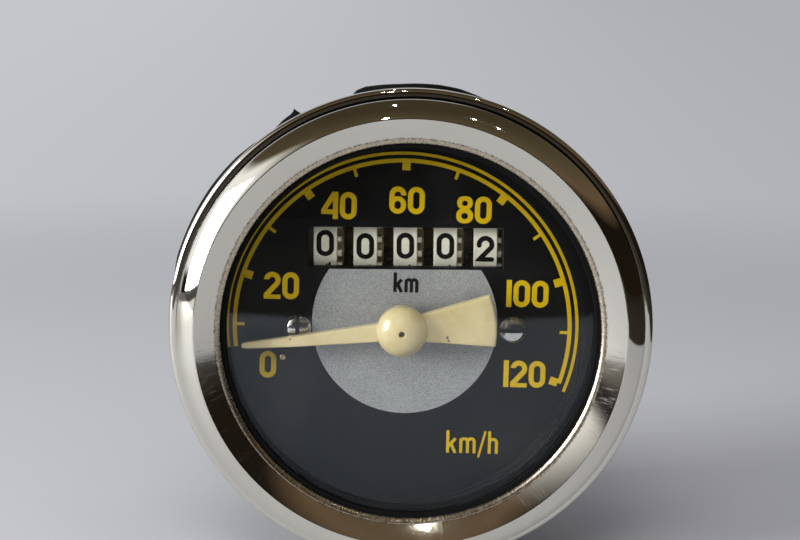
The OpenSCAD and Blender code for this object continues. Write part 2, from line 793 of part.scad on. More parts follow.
module right_bracket() {
    lug_z0 = bracket_z1 - lug_t;
    color("lightsteelblue") movement() difference() {
        union() {
            bracket_wall(bracket_right_x);
            bracket_foot(bracket_right_x + bracket_t);
            block([bracket_right_x, lay_y - lug_half, lug_z0],
                [bracket_right_x + bracket_t, bracket_y0 + bracket_t, bracket_z1]);
            block([bracket_right_x, lay_y - lug_half, lug_z0],
                [lay_x + lug_half, lay_y + lug_half, bracket_z1]);
        }
        bracket_holes(bracket_right_x);
        translate([lay_x, lay_y, lug_z0 - cut]) cylinder(r = pivot_r + run_fit, h = lug_t + 2 * cut);
    }
}

module pinion_shaft() {
    color("silver") movement() along_x(bracket_left_x, carry_y, carry_z)
        cylinder(r = pinion_shaft_r, h = bracket_right_x + bracket_t - bracket_left_x);
}

// Spindle and magnet

module drive_spindle() {
    color("slategray") movement() difference() {
        union() {
            translate([0, 0, spindle_z0]) cylinder(r = spindle_r, h = spindle_step_z - spindle_z0);
            translate([0, 0, spindle_step_z]) cylinder(r = shaft_r, h = spindle_z1 - spindle_step_z);
        }
        block([-square_w / 2, -square_w / 2, spindle_z0 - cut],
            [square_w / 2, square_w / 2, spindle_z0 + square_l]);
        translate([0, 0, spindle_z1 - pivot_l - end_play])
            cylinder(r = staff_pivot_r + run_fit, h = pivot_l + cut);
    }
}

module spindle_worm() {
    color("slategray") movement() translate([0, 0, cross_z]) worm(spindle_pitch, -90, worm_l);
}

module field_cup() {
    wall_z1 = drag_z0 + drag_t / 2;
    color("gray") movement() difference() {
        union() {
            translate([0, 0, field_z0]) cylinder(r = field_r + field_wall, h = field_floor);
            translate([0, 0, field_z0]) tube(field_r + field_wall, field_r, wall_z1 - field_z0);
            translate([0, 0, field_z0]) cylinder(r = magnet_hub_r, h = magnet_z1 - field_z0);
        }
        translate([0, 0, field_z0 - cut])
            cylinder(r = shaft_r + fixed_fit, h = magnet_z1 - field_z0 + 2 * cut);
    }
}

module magnet_ring() {
    color("darkslategray") movement() translate([0, 0, magnet_z0])
        tube(magnet_r, magnet_hub_r + fixed_fit, magnet_h);
}

// Cross shaft and lay shaft

module cross_shaft() {
    color("silver") movement() along_x(bearing_left_x - bearing_w, cross_y, cross_z)
        cylinder(r = shaft_r, h = bearing_right_x - bearing_left_x + 2 * bearing_w);
}

module cross_gear() {
    color("goldenrod") movement() along_x(0, cross_y, cross_z) rotate([0, 0, 90])
        worm_gear(cross_teeth, spindle_pitch, cross_gear_r, shaft_r + fixed_fit);
}

module cross_worm() {
    color("slategray") movement() along_x(lay_x, cross_y, cross_z) worm(cross_pitch, 90, worm_l);
}

module lay_shaft() {
    bottom_z = base_z0 + end_play;
    shoulder_z = base_z1 + end_play;
    top_z = bracket_z1 - lug_t - end_play;
    color("silver") movement() translate([lay_x, lay_y, 0]) {
        translate([0, 0, bottom_z]) cylinder(r = pivot_r, h = bracket_z1 - bottom_z);
        translate([0, 0, shoulder_z]) cylinder(r = shaft_r, h = top_z - shoulder_z);
    }
}

module lay_gear() {
    foot_z = base_z1 + end_play;
    color("goldenrod") movement() translate([lay_x, lay_y, 0]) {
        translate([0, 0, cross_z]) rotate([0, 0, -90])
            worm_gear(lay_teeth, cross_pitch, lay_gear_r, shaft_r + fixed_fit);
        translate([0, 0, foot_z]) tube(2 * shaft_r, shaft_r + fixed_fit, cross_z - foot_z);
    }
}

module lay_worm() {
    color("slategray") movement() translate([lay_x, lay_y, drum_z]) worm(lay_pitch, 90, worm_l);
}

// Pointer and speed cup

module pointer() {
    hub_h = dial_z1 + hub_top - hub_z0;
    tail_a = asin(tail_w1 / 2 / tail_l);
    hub = concat([[0, 0], [hub_r - hub_skirt, 0], [hub_r, hub_skirt]],
        arc([0, hub_side], hub_r, hub_h - hub_side, 0, 90, 12));
    blade = [[0, -blade_w / 2], [pointer_l - tip_w / 2, -tip_w / 2], [pointer_l, 0],
        [pointer_l - tip_w / 2, tip_w / 2], [0, blade_w / 2]];
    tail = concat([[0, blade_w / 2], [-hub_r, tail_w0 / 2]],
        [for (i = [-4:4]) -polar(tail_l, tail_a * i / 4)], [[-hub_r, -tail_w0 / 2], [0, -blade_w / 2]]);
    color("cornsilk") movement() rotate([0, 0, pointer_rest]) difference() {
        union() {
            translate([0, 0, hub_z0]) rotate_extrude() polygon(hub);
            translate([0, 0, dial_z1 + blade_gap]) linear_extrude(blade_t) {
                polygon(blade);
                polygon(tail);
            }
        }
        translate([0, 0, dial_z1]) cylinder(r = staff_end_r + fixed_fit, h = hub_top + cut);
    }
}

module pointer_staff() {
    pivot_z0 = spindle_z1 - pivot_l;
    shoulder_z = spindle_z1 + end_play;
    end_z = dial_z1 + hub_top - staff_r;
    color("silver") movement() {
        translate([0, 0, pivot_z0]) cylinder(r = staff_pivot_r, h = end_z - pivot_z0);
        translate([0, 0, shoulder_z]) cylinder(r = staff_r, h = hub_z0 - shoulder_z);
        translate([0, 0, hub_z0]) cylinder(r = staff_end_r, h = end_z - hub_z0);
    }
}

module drag_cup() {
    wall_z0 = magnet_z0 + 2 * pass_gap;
    color("lightgray") movement() difference() {
        union() {
            translate([0, 0, wall_z0]) tube(drag_out_r, drag_in_r, drag_z0 - wall_z0 + drag_t);
            translate([0, 0, drag_z0]) cylinder(r = drag_out_r, h = drag_t);
            translate([0, 0, drag_z0]) cylinder(r = staff_bush_r, h = drag_t + pass_gap);
        }
        translate([0, 0, drag_z0 - cut]) cylinder(r = staff_r + fixed_fit, h = drag_t + pass_gap + 2 * cut);
    }
}

module hairspring_collet() {
    color("goldenrod") movement() translate([0, 0, bridge_z1 + end_play])
        tube(collet_r, staff_r + fixed_fit, spring_h + 2 * pass_gap - end_play);
}

// One flat spiral from the collet to the stud
module hairspring() {
    per_turn = 20;
    count = spring_turns * per_turn;
    start_r = collet_r + spring_t / 2 + fixed_fit;
    line = function (i, side)
        polar(start_r + (spring_r - start_r) * i / count + side * spring_t / 2,
            spring_a + 360 * i / per_turn);
    outline = concat([for (i = [0:count]) line(i, 1)], [for (i = [count:-1:0]) line(i, -1)]);
    gap = (spring_r - start_r) / spring_turns - spring_t;
    echo(hairspring_gap = gap);
    color("steelblue") movement() translate([0, 0, spring_z]) linear_extrude(spring_h) polygon(outline);
}

module hairspring_stud() {
    reach = spring_r + spring_t / 2 + stud_pin_r + fixed_fit;
    color("goldenrod") movement() translate(concat(polar(reach, spring_a), bridge_z1))
        cylinder(r = stud_pin_r, h = spring_h + 2 * pass_gap);
}

// Odometer

// Number drum with its gear ring, drawn along z from the band's free edge
module drum_body() {
    web_t = 1.2 * drum_wall;
    bore = shaft_r + run_fit;
    tube(drum_r, drum_r - drum_wall, band_w);
    translate([0, 0, band_w - web_t]) tube(drum_r - drum_wall / 2, bore, web_t);
    translate([0, 0, band_w]) rotate([0, 0, 90 - carry_angle])
        gear(ring_teeth, ring_pitch_r - carry_root, ring_pitch_r + carry_top,
            ring_shares[0], ring_shares[1], bore, ring_w);
    tube(drum_hub_r, bore, drum_pitch - end_play);
}

module drum(place) {
    color("ivory") movement() along_x(drum_left_x + place * drum_pitch, drum_y, drum_z) drum_body();
}

module drum_ten_thousands() {
    drum(0);
}

module drum_thousands() {
    drum(1);
}

module drum_hundreds() {
    drum(2);
}

module drum_tens() {
    drum(3);
}

module drum_units() {
    drum(4);
}

module drum_shaft() {
    color("silver") movement() along_x(bracket_left_x, drum_y, drum_z)
        cylinder(r = shaft_r, h = drum_shaft_x1 - bracket_left_x);
}

module drum_drive_wheel() {
    color("goldenrod") movement() along_x(lay_x, drum_y, drum_z) rotate([0, 0, -90])
        worm_gear(drive_teeth, lay_pitch, drive_gear_r, shaft_r + fixed_fit);
}

// Carry pinion beside the gear ring of the drum at this place
module carry_pinion(place) {
    x0 = drum_left_x + place * drum_pitch + band_w + end_play;
    length = drum_pitch - band_w - 2 * end_play;
    turn = 270 - carry_angle + 180 / carry_teeth;
    color("burlywood") movement() along_x(x0, carry_y, carry_z) rotate([0, 0, turn])
        gear(carry_teeth, carry_pitch_r - carry_root, carry_pitch_r + carry_top,
            pinion_shares[0], pinion_shares[1], pinion_shaft_r + run_fit, length);
}

module carry_pinion_1() {
    carry_pinion(3);
}

module carry_pinion_2() {
    carry_pinion(2);
}

module carry_pinion_3() {
    carry_pinion(1);
}

module carry_pinion_4() {
    carry_pinion(0);
}

case_shell();
bezel_ring();
glass_lens();
lens_seal();
spacer_ring();
panel_gasket();
mounting_studs();
dial_plate();
dial_screws();
zero_stop_pin();
dial_pillars();
bridge_plate();
bridge_pillars();
bridge_screws();
base_plate();
drive_boss();
spindle_bush();
boss_nut();
boss_washer();
staff_bush();
hairspring_stud();
cross_bearings();
left_bracket();
right_bracket();
pinion_shaft();
bracket_screws();
drive_spindle();
spindle_worm();
magnet_ring();
field_cup();
cross_shaft();
cross_gear();
cross_worm();
lay_shaft();
lay_gear();
lay_worm();
pointer();
pointer_staff();
drag_cup();
hairspring_collet();
hairspring();
drum_units();
drum_drive_wheel();
drum_shaft();
drum_tens();
drum_hundreds();
drum_thousands();
drum_ten_thousands();
carry_pinion_1();
carry_pinion_2();
carry_pinion_3();
carry_pinion_4();
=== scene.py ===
"""Looks of the vintage speedometer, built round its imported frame."""

import json
import math

import bmesh
import bpy
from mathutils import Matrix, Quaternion, Vector


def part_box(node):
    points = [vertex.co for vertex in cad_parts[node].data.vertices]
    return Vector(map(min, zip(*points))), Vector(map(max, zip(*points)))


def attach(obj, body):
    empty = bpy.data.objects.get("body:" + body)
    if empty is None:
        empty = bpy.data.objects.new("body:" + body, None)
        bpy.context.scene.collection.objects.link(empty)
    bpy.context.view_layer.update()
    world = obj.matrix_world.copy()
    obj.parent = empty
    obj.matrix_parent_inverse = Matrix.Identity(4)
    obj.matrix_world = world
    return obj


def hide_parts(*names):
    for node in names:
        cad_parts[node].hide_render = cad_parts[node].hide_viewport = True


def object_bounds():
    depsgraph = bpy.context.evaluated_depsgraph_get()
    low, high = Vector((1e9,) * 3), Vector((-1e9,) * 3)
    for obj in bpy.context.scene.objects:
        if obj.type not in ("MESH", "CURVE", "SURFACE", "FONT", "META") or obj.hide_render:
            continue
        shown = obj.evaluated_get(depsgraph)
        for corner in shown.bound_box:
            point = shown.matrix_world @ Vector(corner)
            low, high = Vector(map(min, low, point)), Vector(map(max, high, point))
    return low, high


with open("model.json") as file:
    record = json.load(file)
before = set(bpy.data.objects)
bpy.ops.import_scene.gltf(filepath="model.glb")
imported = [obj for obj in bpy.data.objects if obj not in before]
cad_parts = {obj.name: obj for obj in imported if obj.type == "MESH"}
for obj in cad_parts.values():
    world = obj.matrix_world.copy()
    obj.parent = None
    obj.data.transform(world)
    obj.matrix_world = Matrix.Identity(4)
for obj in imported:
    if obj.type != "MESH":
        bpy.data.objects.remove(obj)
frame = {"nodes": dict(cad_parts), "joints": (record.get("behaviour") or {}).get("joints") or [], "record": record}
cad_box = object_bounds()

MM = 0.001
JOINTS = {joint["name"]: joint for joint in frame["joints"]}


def front(node):
    """Distance of a node's front face from the back of the case, in millimetres."""
    return -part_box(node)[0].y / MM


def rear(node):
    """Distance of a node's rear face from the back of the case, in millimetres."""
    return -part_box(node)[1].y / MM


def width(node):
    """Breadth of a node, in millimetres."""
    low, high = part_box(node)
    return (high.x - low.x) / MM


def pivot(joint):
    """Sideways and upward place of a joint's axis, and its distance from the case's back."""
    x, y, z = JOINTS[joint]["pos_m"]
    return x / MM, z / MM, -y / MM


# Sizes in millimetres: x to the right, y up the dial, z from the case's back towards the reader
HUB_X, HUB_Y, _ = pivot("pointer_swing")
_, DRUM_Y, DRUM_Z = pivot("units_spin")
DIAL_Z = rear("spacer_ring")
DIAL_R = width("dial_plate") / 2
RIM_R = width("bezel_ring") / 2
BEZEL_REAR = rear("bezel_ring")
CREST_Z = front("bezel_ring")
CREST_R = RIM_R - 4.7
RING_R = RIM_R - 1.1
LIP_R = RIM_R - 9.2
LIP_Z = CREST_Z - 1.8
GLASS_R = width("glass_lens") / 2
GLASS_FOOT_R = GLASS_R - 3
SEAL_IN_R = LIP_R - 0.9
SPACER_IN_R = DIAL_R - 2.3
MOUTH_Z = front("case_shell")
CASE_R = width("case_shell") / 2 - 1.8
WINDOW_X = 0.45
WINDOW_Y = DRUM_Y - 0.34 - HUB_Y
WINDOW_W = 33.6
WINDOW_H = 6.9
PRINT_TURN = math.radians(-1.1)
POINTER_REST = math.radians(186.5)
BLADE_Z = DIAL_Z + 2
SCREWS = [(0.55 - 18.7, -0.35), (0.55 + 18.7, -0.35)]


def gauge(x, y, z):
    """A point of the gauge, given in millimetres, in the frame's metres."""
    return Vector((x, -z, y)) * MM


def turned_by(angle, x, y):
    """Places a point given along and across a turned piece whose origin lies at x, y."""
    cos_a, sin_a = math.cos(angle), math.sin(angle)
    return lambda along, across: (x + along * cos_a - across * sin_a, y + along * sin_a + across * cos_a)


def bend(cx, cy, rx, ry, a0, a1, steps):
    """Points of an elliptic arc; the angles are in degrees."""
    angles = [math.radians(a0 + (a1 - a0) * i / steps) for i in range(steps + 1)]
    return [(cx + rx * math.cos(a), cy + ry * math.sin(a)) for a in angles]


def finer(points, step, ring=False):
    """The same line with no stretch longer than step."""
    line = []
    ends = points[1:] + points[:1] if ring else points[1:]
    for a, b in zip(points, ends):
        count = max(1, math.ceil(math.dist(a, b) / step))
        line += [tuple(p + (q - p) * i / count for p, q in zip(a, b)) for i in range(count)]
    return line if ring else line + [points[-1]]


def placed(name, data):
    """A new object of the scene."""
    piece = bpy.data.objects.new(name, data)
    bpy.context.scene.collection.objects.link(piece)
    return piece


class Shape:
    """Closed bodies in gauge millimetres that become one mesh."""

    def __init__(self):
        self.mesh = bmesh.new()

    def loft(self, rows, ring=False):
        """Skin over closed cross sections; a ring joins the last one to the first."""
        corners = [[self.mesh.verts.new(gauge(*p)) for p in row] for row in rows]
        count = len(rows[0])
        for i in range(len(rows) if ring else len(rows) - 1):
            a, b = corners[i], corners[(i + 1) % len(rows)]
            for j in range(count):
                k = (j + 1) % count
                self.mesh.faces.new((a[j], a[k], b[k], b[j]))
        if not ring:
            self.mesh.faces.new(corners[0])
            self.mesh.faces.new(corners[-1])
        return self

    def turn(self, profile, x=0.0, y=0.0, steps=144):
        """Turns a closed outline of radius and height about a line towards the reader.
        The outline may be a function of the angle."""
        rows = []
        for i in range(steps):
            a = 2 * math.pi * i / steps
            outline = profile(a) if callable(profile) else profile
            rows.append([(x + r * math.cos(a), y + r * math.sin(a), z) for r, z in outline])
        return self.loft(rows, ring=True)

    def roll(self, profile, y, z, steps=96):
        """Turns a closed outline of radius and sideways place about a line across the gauge."""
        angles = [2 * math.pi * i / steps for i in range(steps)]
        return self.loft([[(x, y + r * math.sin(a), z + r * math.cos(a)) for r, x in profile]
                          for a in angles], ring=True)

    def slab(self, outlines, z0, z1):
        """Flat plate whose first outline is its edge and whose others are holes."""
        for z in (z0, z1):
            edges = []
            for outline in outlines:
                verts = [self.mesh.verts.new(gauge(x, y, z)) for x, y in outline]
                edges += [self.mesh.edges.new((verts[i - 1], verts[i])) for i in range(len(verts))]
            bmesh.ops.triangle_fill(self.mesh, edges=edges, use_beauty=True)
        for outline in outlines:
            low, high = ([self.mesh.verts.new(gauge(x, y, z)) for x, y in outline] for z in (z0, z1))
            for i in range(len(outline)):
                self.mesh.faces.new((low[i - 1], low[i], high[i], high[i - 1]))
        return self

    def ribbon(self, line, half, lay, thick, ring=False, round_ends=False):
        """Flat stroke along a line, laid on a surface by lay(across, up, lift)."""
        count = len(line)
        rows = []
        for i, p in enumerate(line):
            before = line[i - 1] if ring or i else p
            after = line[(i + 1) % count] if ring or i < count - 1 else p
            ways = [Vector((b[0] - a[0], b[1] - a[1])) for a, b in ((before, p), (p, after))]
            ways = [w.normalized() for w in ways if w.length > 1e-9]
            mean = (ways[0] + ways[-1]).normalized()
            reach = half / max(0.5, mean.dot(ways[0]))
            rows.append((p, Vector((-mean.y, mean.x)) * reach))
        if round_ends:
            caps = []
            for (p, side), sign in ((rows[0], -1), (rows[-1], 1)):
                ahead = Vector((side.y, -side.x)) * sign
                cap = [((p[0] + ahead.x * math.sin(t), p[1] + ahead.y * math.sin(t)), side * math.cos(t))
                       for t in (0.5, 0.95, 1.3, 1.5)]
                caps.append(cap)
            rows = caps[0][::-1] + rows + caps[1]
        sections = []
        for p, side in rows:
            left, right = (p[0] + side.x, p[1] + side.y), (p[0] - side.x, p[1] - side.y)
            sections.append([lay(*left, -thick), lay(*right, -thick), lay(*right, thick), lay(*left, thick)])
        return self.loft(sections, ring=ring)

    def make(self, name, finish, sharp=38):
        """Ends the shape as an object of this finish."""
        weld, sliver = 2e-7, 1e-8
        bmesh.ops.remove_doubles(self.mesh, verts=self.mesh.verts, dist=weld)
        bmesh.ops.dissolve_degenerate(self.mesh, edges=self.mesh.edges, dist=sliver)
        bmesh.ops.recalc_face_normals(self.mesh, faces=self.mesh.faces)
        mesh = bpy.data.meshes.new(name)
        self.mesh.to_mesh(mesh)
        self.mesh.free()
        mesh.shade_smooth()
        mesh.set_sharp_from_angle(angle=math.radians(sharp))
        mesh.materials.append(finish)
        return placed(name, mesh)


def fit(piece, body, slot, *nodes):
    """Puts a finished piece on its body in place of the plain solids."""
    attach(piece, body)
    if nodes:
        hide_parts(*nodes)


def lathe(node, ending, finish, slot, profile, x=0.0, y=0.0, steps=144, sharp=38):
    """A turned piece of the housing in place of its plain solid, whose name it extends."""
    piece = Shape().turn(profile, x, y, steps).make(node + ending, finish, sharp)
    fit(piece, "housing", slot, node)


def settle(piece):
    """Turns what a piece's modifiers make into its plain mesh."""
    depsgraph = bpy.context.evaluated_depsgraph_get()
    mesh = bpy.data.meshes.new_from_object(piece.evaluated_get(depsgraph))
    piece.modifiers.clear()
    piece.data = mesh


def joined(name, pieces):
    """One object of several pieces, each with its own finish."""
    whole = bmesh.new()
    finishes = []
    for piece in pieces:
        for material in piece.data.materials:
            if material not in finishes:
                finishes.append(material)
        start = len(whole.faces)
        whole.from_mesh(piece.data)
        whole.faces.ensure_lookup_table()
        for face in whole.faces[start:]:
            face.material_index = finishes.index(piece.data.materials[face.material_index])
        bpy.data.objects.remove(piece)
    mesh = bpy.data.meshes.new(name)
    whole.to_mesh(mesh)
    whole.free()
    for material in finishes:
        mesh.materials.append(material)
    return placed(name, mesh)


# Nodes


class Value:
    """A socket of a node that takes part in sums."""

    def __init__(self, bench, socket):
        self.bench, self.socket = bench, socket

    def _sum(self, operation, a, b=0.0):
        return self.bench.node("ShaderNodeMath", {"operation": operation}, {0: a, 1: b})

    def __add__(self, other):
        return self._sum("ADD", self, other)

    __radd__ = __add__

    def __sub__(self, other):
        return self._sum("SUBTRACT", self, other)

    def __mul__(self, other):
        return self._sum("MULTIPLY", self, other)

    __rmul__ = __mul__

    def __truediv__(self, other):
        return self._sum("DIVIDE", self, other)

    def __pow__(self, other):
        return self._sum("POWER", self, other)

    def root(self):
        return self._sum("SQRT", self)

    def size(self):
        return self._sum("ABSOLUTE", self)

    def above(self, low, high):
        """Rises smoothly from 0 at low to 1 at high, or falls where high is the smaller."""
        return self.bench.node("ShaderNodeMapRange", {"interpolation_type": "SMOOTHSTEP"}, {
            "Value": self, "From Min": low, "From Max": high})

    def output(self, index):
        """Another output of the same node."""
        return Value(self.bench, self.socket.node.outputs[index])


class Bench:
    """Adds nodes to a tree."""

    def __init__(self, tree):
        self.tree = tree
        tree.nodes.clear()

    def node(self, kind, settings=None, inputs=None, output=0):
        node = self.tree.nodes.new(kind)
        for key, value in (settings or {}).items():
            if key == "stops":
                stops = node.color_ramp.elements
                while len(stops) < len(value):
                    stops.new(1.0)
                for stop, (place, colour) in zip(stops, value):
                    stop.position, stop.color = place, colour
            else:
                setattr(node, key, value)
        for key, value in (inputs or {}).items():
            for source in value if isinstance(value, list) else [value]:
                if isinstance(source, Value):
                    self.tree.links.new(source.socket, node.inputs[key])
                else:
                    node.inputs[key].default_value = source
        return Value(self, node.outputs[output]) if len(node.outputs) else None


# Geometry node trees


class Recipe(Bench):
    """A geometry node tree with named inputs that ends in real geometry with its finish."""

    KINDS = {int: "NodeSocketInt", float: "NodeSocketFloat", tuple: "NodeSocketVector"}

    def __init__(self, name, inputs):
        super().__init__(bpy.data.node_groups.new(name, "GeometryNodeTree"))
        face = self.tree.interface
        face.new_socket("Geometry", in_out="INPUT", socket_type="NodeSocketGeometry")
        self.keys = {key: face.new_socket(key, in_out="INPUT", socket_type=self.KINDS[kind]).identifier
                     for key, kind in inputs.items()}
        self.keys["Finish"] = face.new_socket(
            "Finish", in_out="INPUT", socket_type="NodeSocketMaterial").identifier
        face.new_socket("Geometry", in_out="OUTPUT", socket_type="NodeSocketGeometry")
        sources = self.tree.nodes.new("NodeGroupInput").outputs
        self.given = {source.name: Value(self, source) for source in sources}

    def end(self, geometry):
        real = self.node("GeometryNodeRealizeInstances", inputs={"Geometry": geometry})
        dressed = self.node("GeometryNodeSetMaterial", inputs={"Geometry": real, "Material": self.given["Finish"]})
        self.node("NodeGroupOutput", inputs={0: dressed})
        return self

    def run(self, piece, finish, **values):
        """Runs the tree on a piece and keeps the result as its mesh."""
        modifier = piece.modifiers.new(self.tree.name, "NODES")
        modifier.node_group = self.tree
        modifier[self.keys["Finish"]] = finish
        for key, value in values.items():
            modifier[self.keys[key.replace("_", " ")]] = tuple(value) if isinstance(value, Vector) else value
        settle(piece)


def ring_recipe():
    """Copies of a piece turned about an axis at even steps."""
    recipe = Recipe("copies_round_an_axis", {
        "Count": int, "First angle": float, "Step angle": float, "Centre": tuple, "Axis": tuple})
    given = recipe.given
    swept = recipe.node("GeometryNodeInputIndex") * given["Step angle"] + given["First angle"]
    turn = recipe.node("FunctionNodeAxisAngleToRotation", inputs={"Axis": given["Axis"], "Angle": swept})
    points = recipe.node("GeometryNodePoints", inputs={"Count": given["Count"], "Position": given["Centre"]})
    back = recipe.node("ShaderNodeVectorMath", {"operation": "SCALE"}, {0: given["Centre"], "Scale": -1.0})
    shifted = recipe.node("GeometryNodeTransform", inputs={"Geometry": given["Geometry"], "Translation": back})
    copies = recipe.node("GeometryNodeInstanceOnPoints", inputs={
        "Points": points, "Instance": shifted, "Rotation": turn})
    return recipe.end(copies)


def row_recipe():
    """Copies of a piece along a line, each turned a step further about the line to the reader."""
    recipe = Recipe("copies_in_a_row", {"Count": int, "Start": tuple, "Step": tuple, "Turn": float})
    given = recipe.given
    index = recipe.node("GeometryNodeInputIndex")
    moved = recipe.node("ShaderNodeVectorMath", {"operation": "SCALE"}, {0: given["Step"], "Scale": index})
    place = recipe.node("ShaderNodeVectorMath", {"operation": "ADD"}, {0: given["Start"], 1: moved})
    turn = recipe.node("FunctionNodeAxisAngleToRotation", inputs={
        "Axis": (0.0, -1.0, 0.0), "Angle": index * given["Turn"]})
    points = recipe.node("GeometryNodePoints", inputs={"Count": given["Count"], "Position": place})
    copies = recipe.node("GeometryNodeInstanceOnPoints", inputs={
        "Points": points, "Instance": given["Geometry"], "Rotation": turn})
    return recipe.end(copies)


def thread_recipe():
    """Screw thread wound on a rod that lies along the drive axis; the rod is the piece itself."""
    recipe = Recipe("wound_thread", {
        "Turns": float, "Pitch": float, "Core radius": float, "Depth": float, "Start": tuple})
    given = recipe.given
    helix = recipe.node("GeometryNodeCurveSpiral", inputs={
        "Resolution": 40, "Rotations": given["Turns"], "Start Radius": given["Core radius"],
        "End Radius": given["Core radius"], "Height": given["Turns"] * given["Pitch"]})
    ridge = recipe.node("GeometryNodeCurvePrimitiveCircle", inputs={"Resolution": 6, "Radius": given["Depth"]})
    wire = recipe.node("GeometryNodeCurveToMesh", inputs={
        "Curve": helix, "Profile Curve": ridge, "Fill Caps": True})
    laid = recipe.node("GeometryNodeTransform", inputs={
        "Geometry": wire, "Translation": given["Start"], "Rotation": (-math.pi / 2, 0.0, 0.0)})
    return recipe.end(recipe.node("GeometryNodeJoinGeometry", inputs={0: [given["Geometry"], laid]}))


RING = ring_recipe()
ROW = row_recipe()
THREAD = thread_recipe()


# Finishes


def srgb(red, green, blue):
    """A colour given as screen values from 0 to 255, as shader numbers."""
    steps = [c / 255 for c in (red, green, blue)]
    return tuple(c / 12.92 if c <= 0.04045 else ((c + 0.055) / 1.055) ** 2.4 for c in steps) + (1.0,)


class Shading(Bench):
    """Adds nodes to the tree of a material or of the world."""

    def place(self):
        return self.node("ShaderNodeTexCoord", output=3)

    def parts(self, vector):
        x = self.node("ShaderNodeSeparateXYZ", inputs={0: vector})
        return x, x.output(1), x.output(2)

    def vector(self, x, y, z):
        return self.node("ShaderNodeCombineXYZ", inputs={0: x, 1: y, 2: z})

    def noise(self, scale, detail=4.0, rough=0.55, at=None):
        return self.node("ShaderNodeTexNoise", inputs={
            "Vector": at or self.place(), "Scale": scale, "Detail": detail, "Roughness": rough})

    def specks(self, scale, size):
        """Round spots, 1 inside and 0 outside."""
        spot = self.node("ShaderNodeTexVoronoi", inputs={"Vector": self.place(), "Scale": scale})
        return spot.above(size, size * 0.6)

    def mix(self, share, a, b):
        return self.node("ShaderNodeMix", {"data_type": "RGBA"}, {0: share, 6: a, 7: b}, 2)

    def bump(self, height, depth, strength):
        """Surface relief; depth is in millimetres."""
        return self.node("ShaderNodeBump", inputs={
            "Height": height, "Distance": depth * MM, "Strength": strength})

    def rays(self):
        """Tells rays from the camera, and rays from a mirror."""
        path = self.node("ShaderNodeLightPath")
        return path, path.output(3)


class Finish(Shading):
    """A material with one main shader."""

    def __init__(self, name, **fixed):
        self.material = bpy.data.materials.new(name)
        self.material.use_nodes = True
        super().__init__(self.material.node_tree)
        self.shader = self.node("ShaderNodeBsdfPrincipled", inputs={
            key.replace("_", " "): value for key, value in fixed.items()})
        self.surface = self.tree.nodes.new("ShaderNodeOutputMaterial").inputs["Surface"]
        self.show(self.shader)

    def show(self, shader):
        self.tree.links.new(shader.socket, self.surface)

    def blend(self, share, a, b):
        """One shader over another."""
        return self.node("ShaderNodeMixShader", inputs={0: share, 1: a, 2: b})

    def feed(self, **values):
        sockets = self.shader.socket.node.inputs
        for key, value in values.items():
            self.tree.links.new(value.socket, sockets[key.replace("_", " ")])
        return self.material

    def radius(self):
        """Distance from the rim's axis, in millimetres, with its two directions."""
        across, _, up = self.parts(self.place())
        across, up = across / MM, up / MM
        reach = (across * across + up * up).root()
        return reach, across / reach, up / reach


def chrome_plate(name):
    """Plated rim: mirror ring, groove darkened with painted shade, faintly scratched cone and a lip with a stained
    seam.
    """
    finish = Finish(name, Metallic=1.0)
    reach, across, up = finish.radius()
    _, depth, _ = finish.parts(finish.place())
    ahead = depth / MM * -1.0
    cone = reach.above(CREST_R - 0.1, CREST_R - 0.5)
    # Painted shade: the groove's plating is made near black and rough to stand for the shadow deep in the gap.
    groove = reach.above(RIM_R - 1.3, RIM_R - 1.5) * ahead.above(BEZEL_REAR + 1.6, BEZEL_REAR + 1.7)
    groove = groove * ahead.above(CREST_Z - 2.55, CREST_Z - 2.7) * reach.above(CREST_R - 0.2, CREST_R + 0.2)
    lip = reach.above(LIP_R + 1.04, LIP_R + 0.96)
    seam = reach.above(LIP_R + 0.8, LIP_R + 1.0) * reach.above(LIP_R + 1.25, LIP_R + 1.08)
    scratch = finish.noise(1.0, 3.0, 0.7, finish.vector(across * 70, up * 70, reach * 0.35))
    cloud = finish.noise(160, 5.0, 0.6)
    grime = finish.noise(2600, 3.0, 0.6).above(0.42, 0.62)
    fine = scratch.above(0.5, 0.75) * cone
    plate = finish.mix(cloud.above(0.45, 0.8) * 0.25, (0.75, 0.73, 0.67, 1), (0.66, 0.63, 0.56, 1))
    band = finish.mix(lip, plate, (0.64, 0.56, 0.45, 1))
    stained = finish.mix((seam * 0.5 + lip * 0.35) * grime, band, srgb(92, 70, 52))
    return finish.feed(
        Base_Color=finish.mix(groove, stained, srgb(20, 17, 14)),
        Roughness=0.035 + groove * 0.5 + cone * 0.05 + fine * 0.12 + lip * 0.16 + cloud.above(0.55, 0.8) * 0.03,
        Normal=finish.bump(scratch * cone, 0.004, 0.35))


def bright_metal(name, tone, stain, gloss, grain=900.0, relief=0.01):
    """Plated or bare metal mottled towards its stain."""
    finish = Finish(name, Metallic=1.0)
    cloud = finish.noise(260, 6.0)
    fine = finish.noise(grain, 3.0, 0.7)
    return finish.feed(
        Base_Color=finish.mix(cloud.above(0.4, 0.75) * 0.7, tone, stain),
        Roughness=gloss + (fine - 0.5) * 0.22 + cloud.above(0.5, 0.8) * 0.12,
        Normal=finish.bump(fine, relief, 0.5))


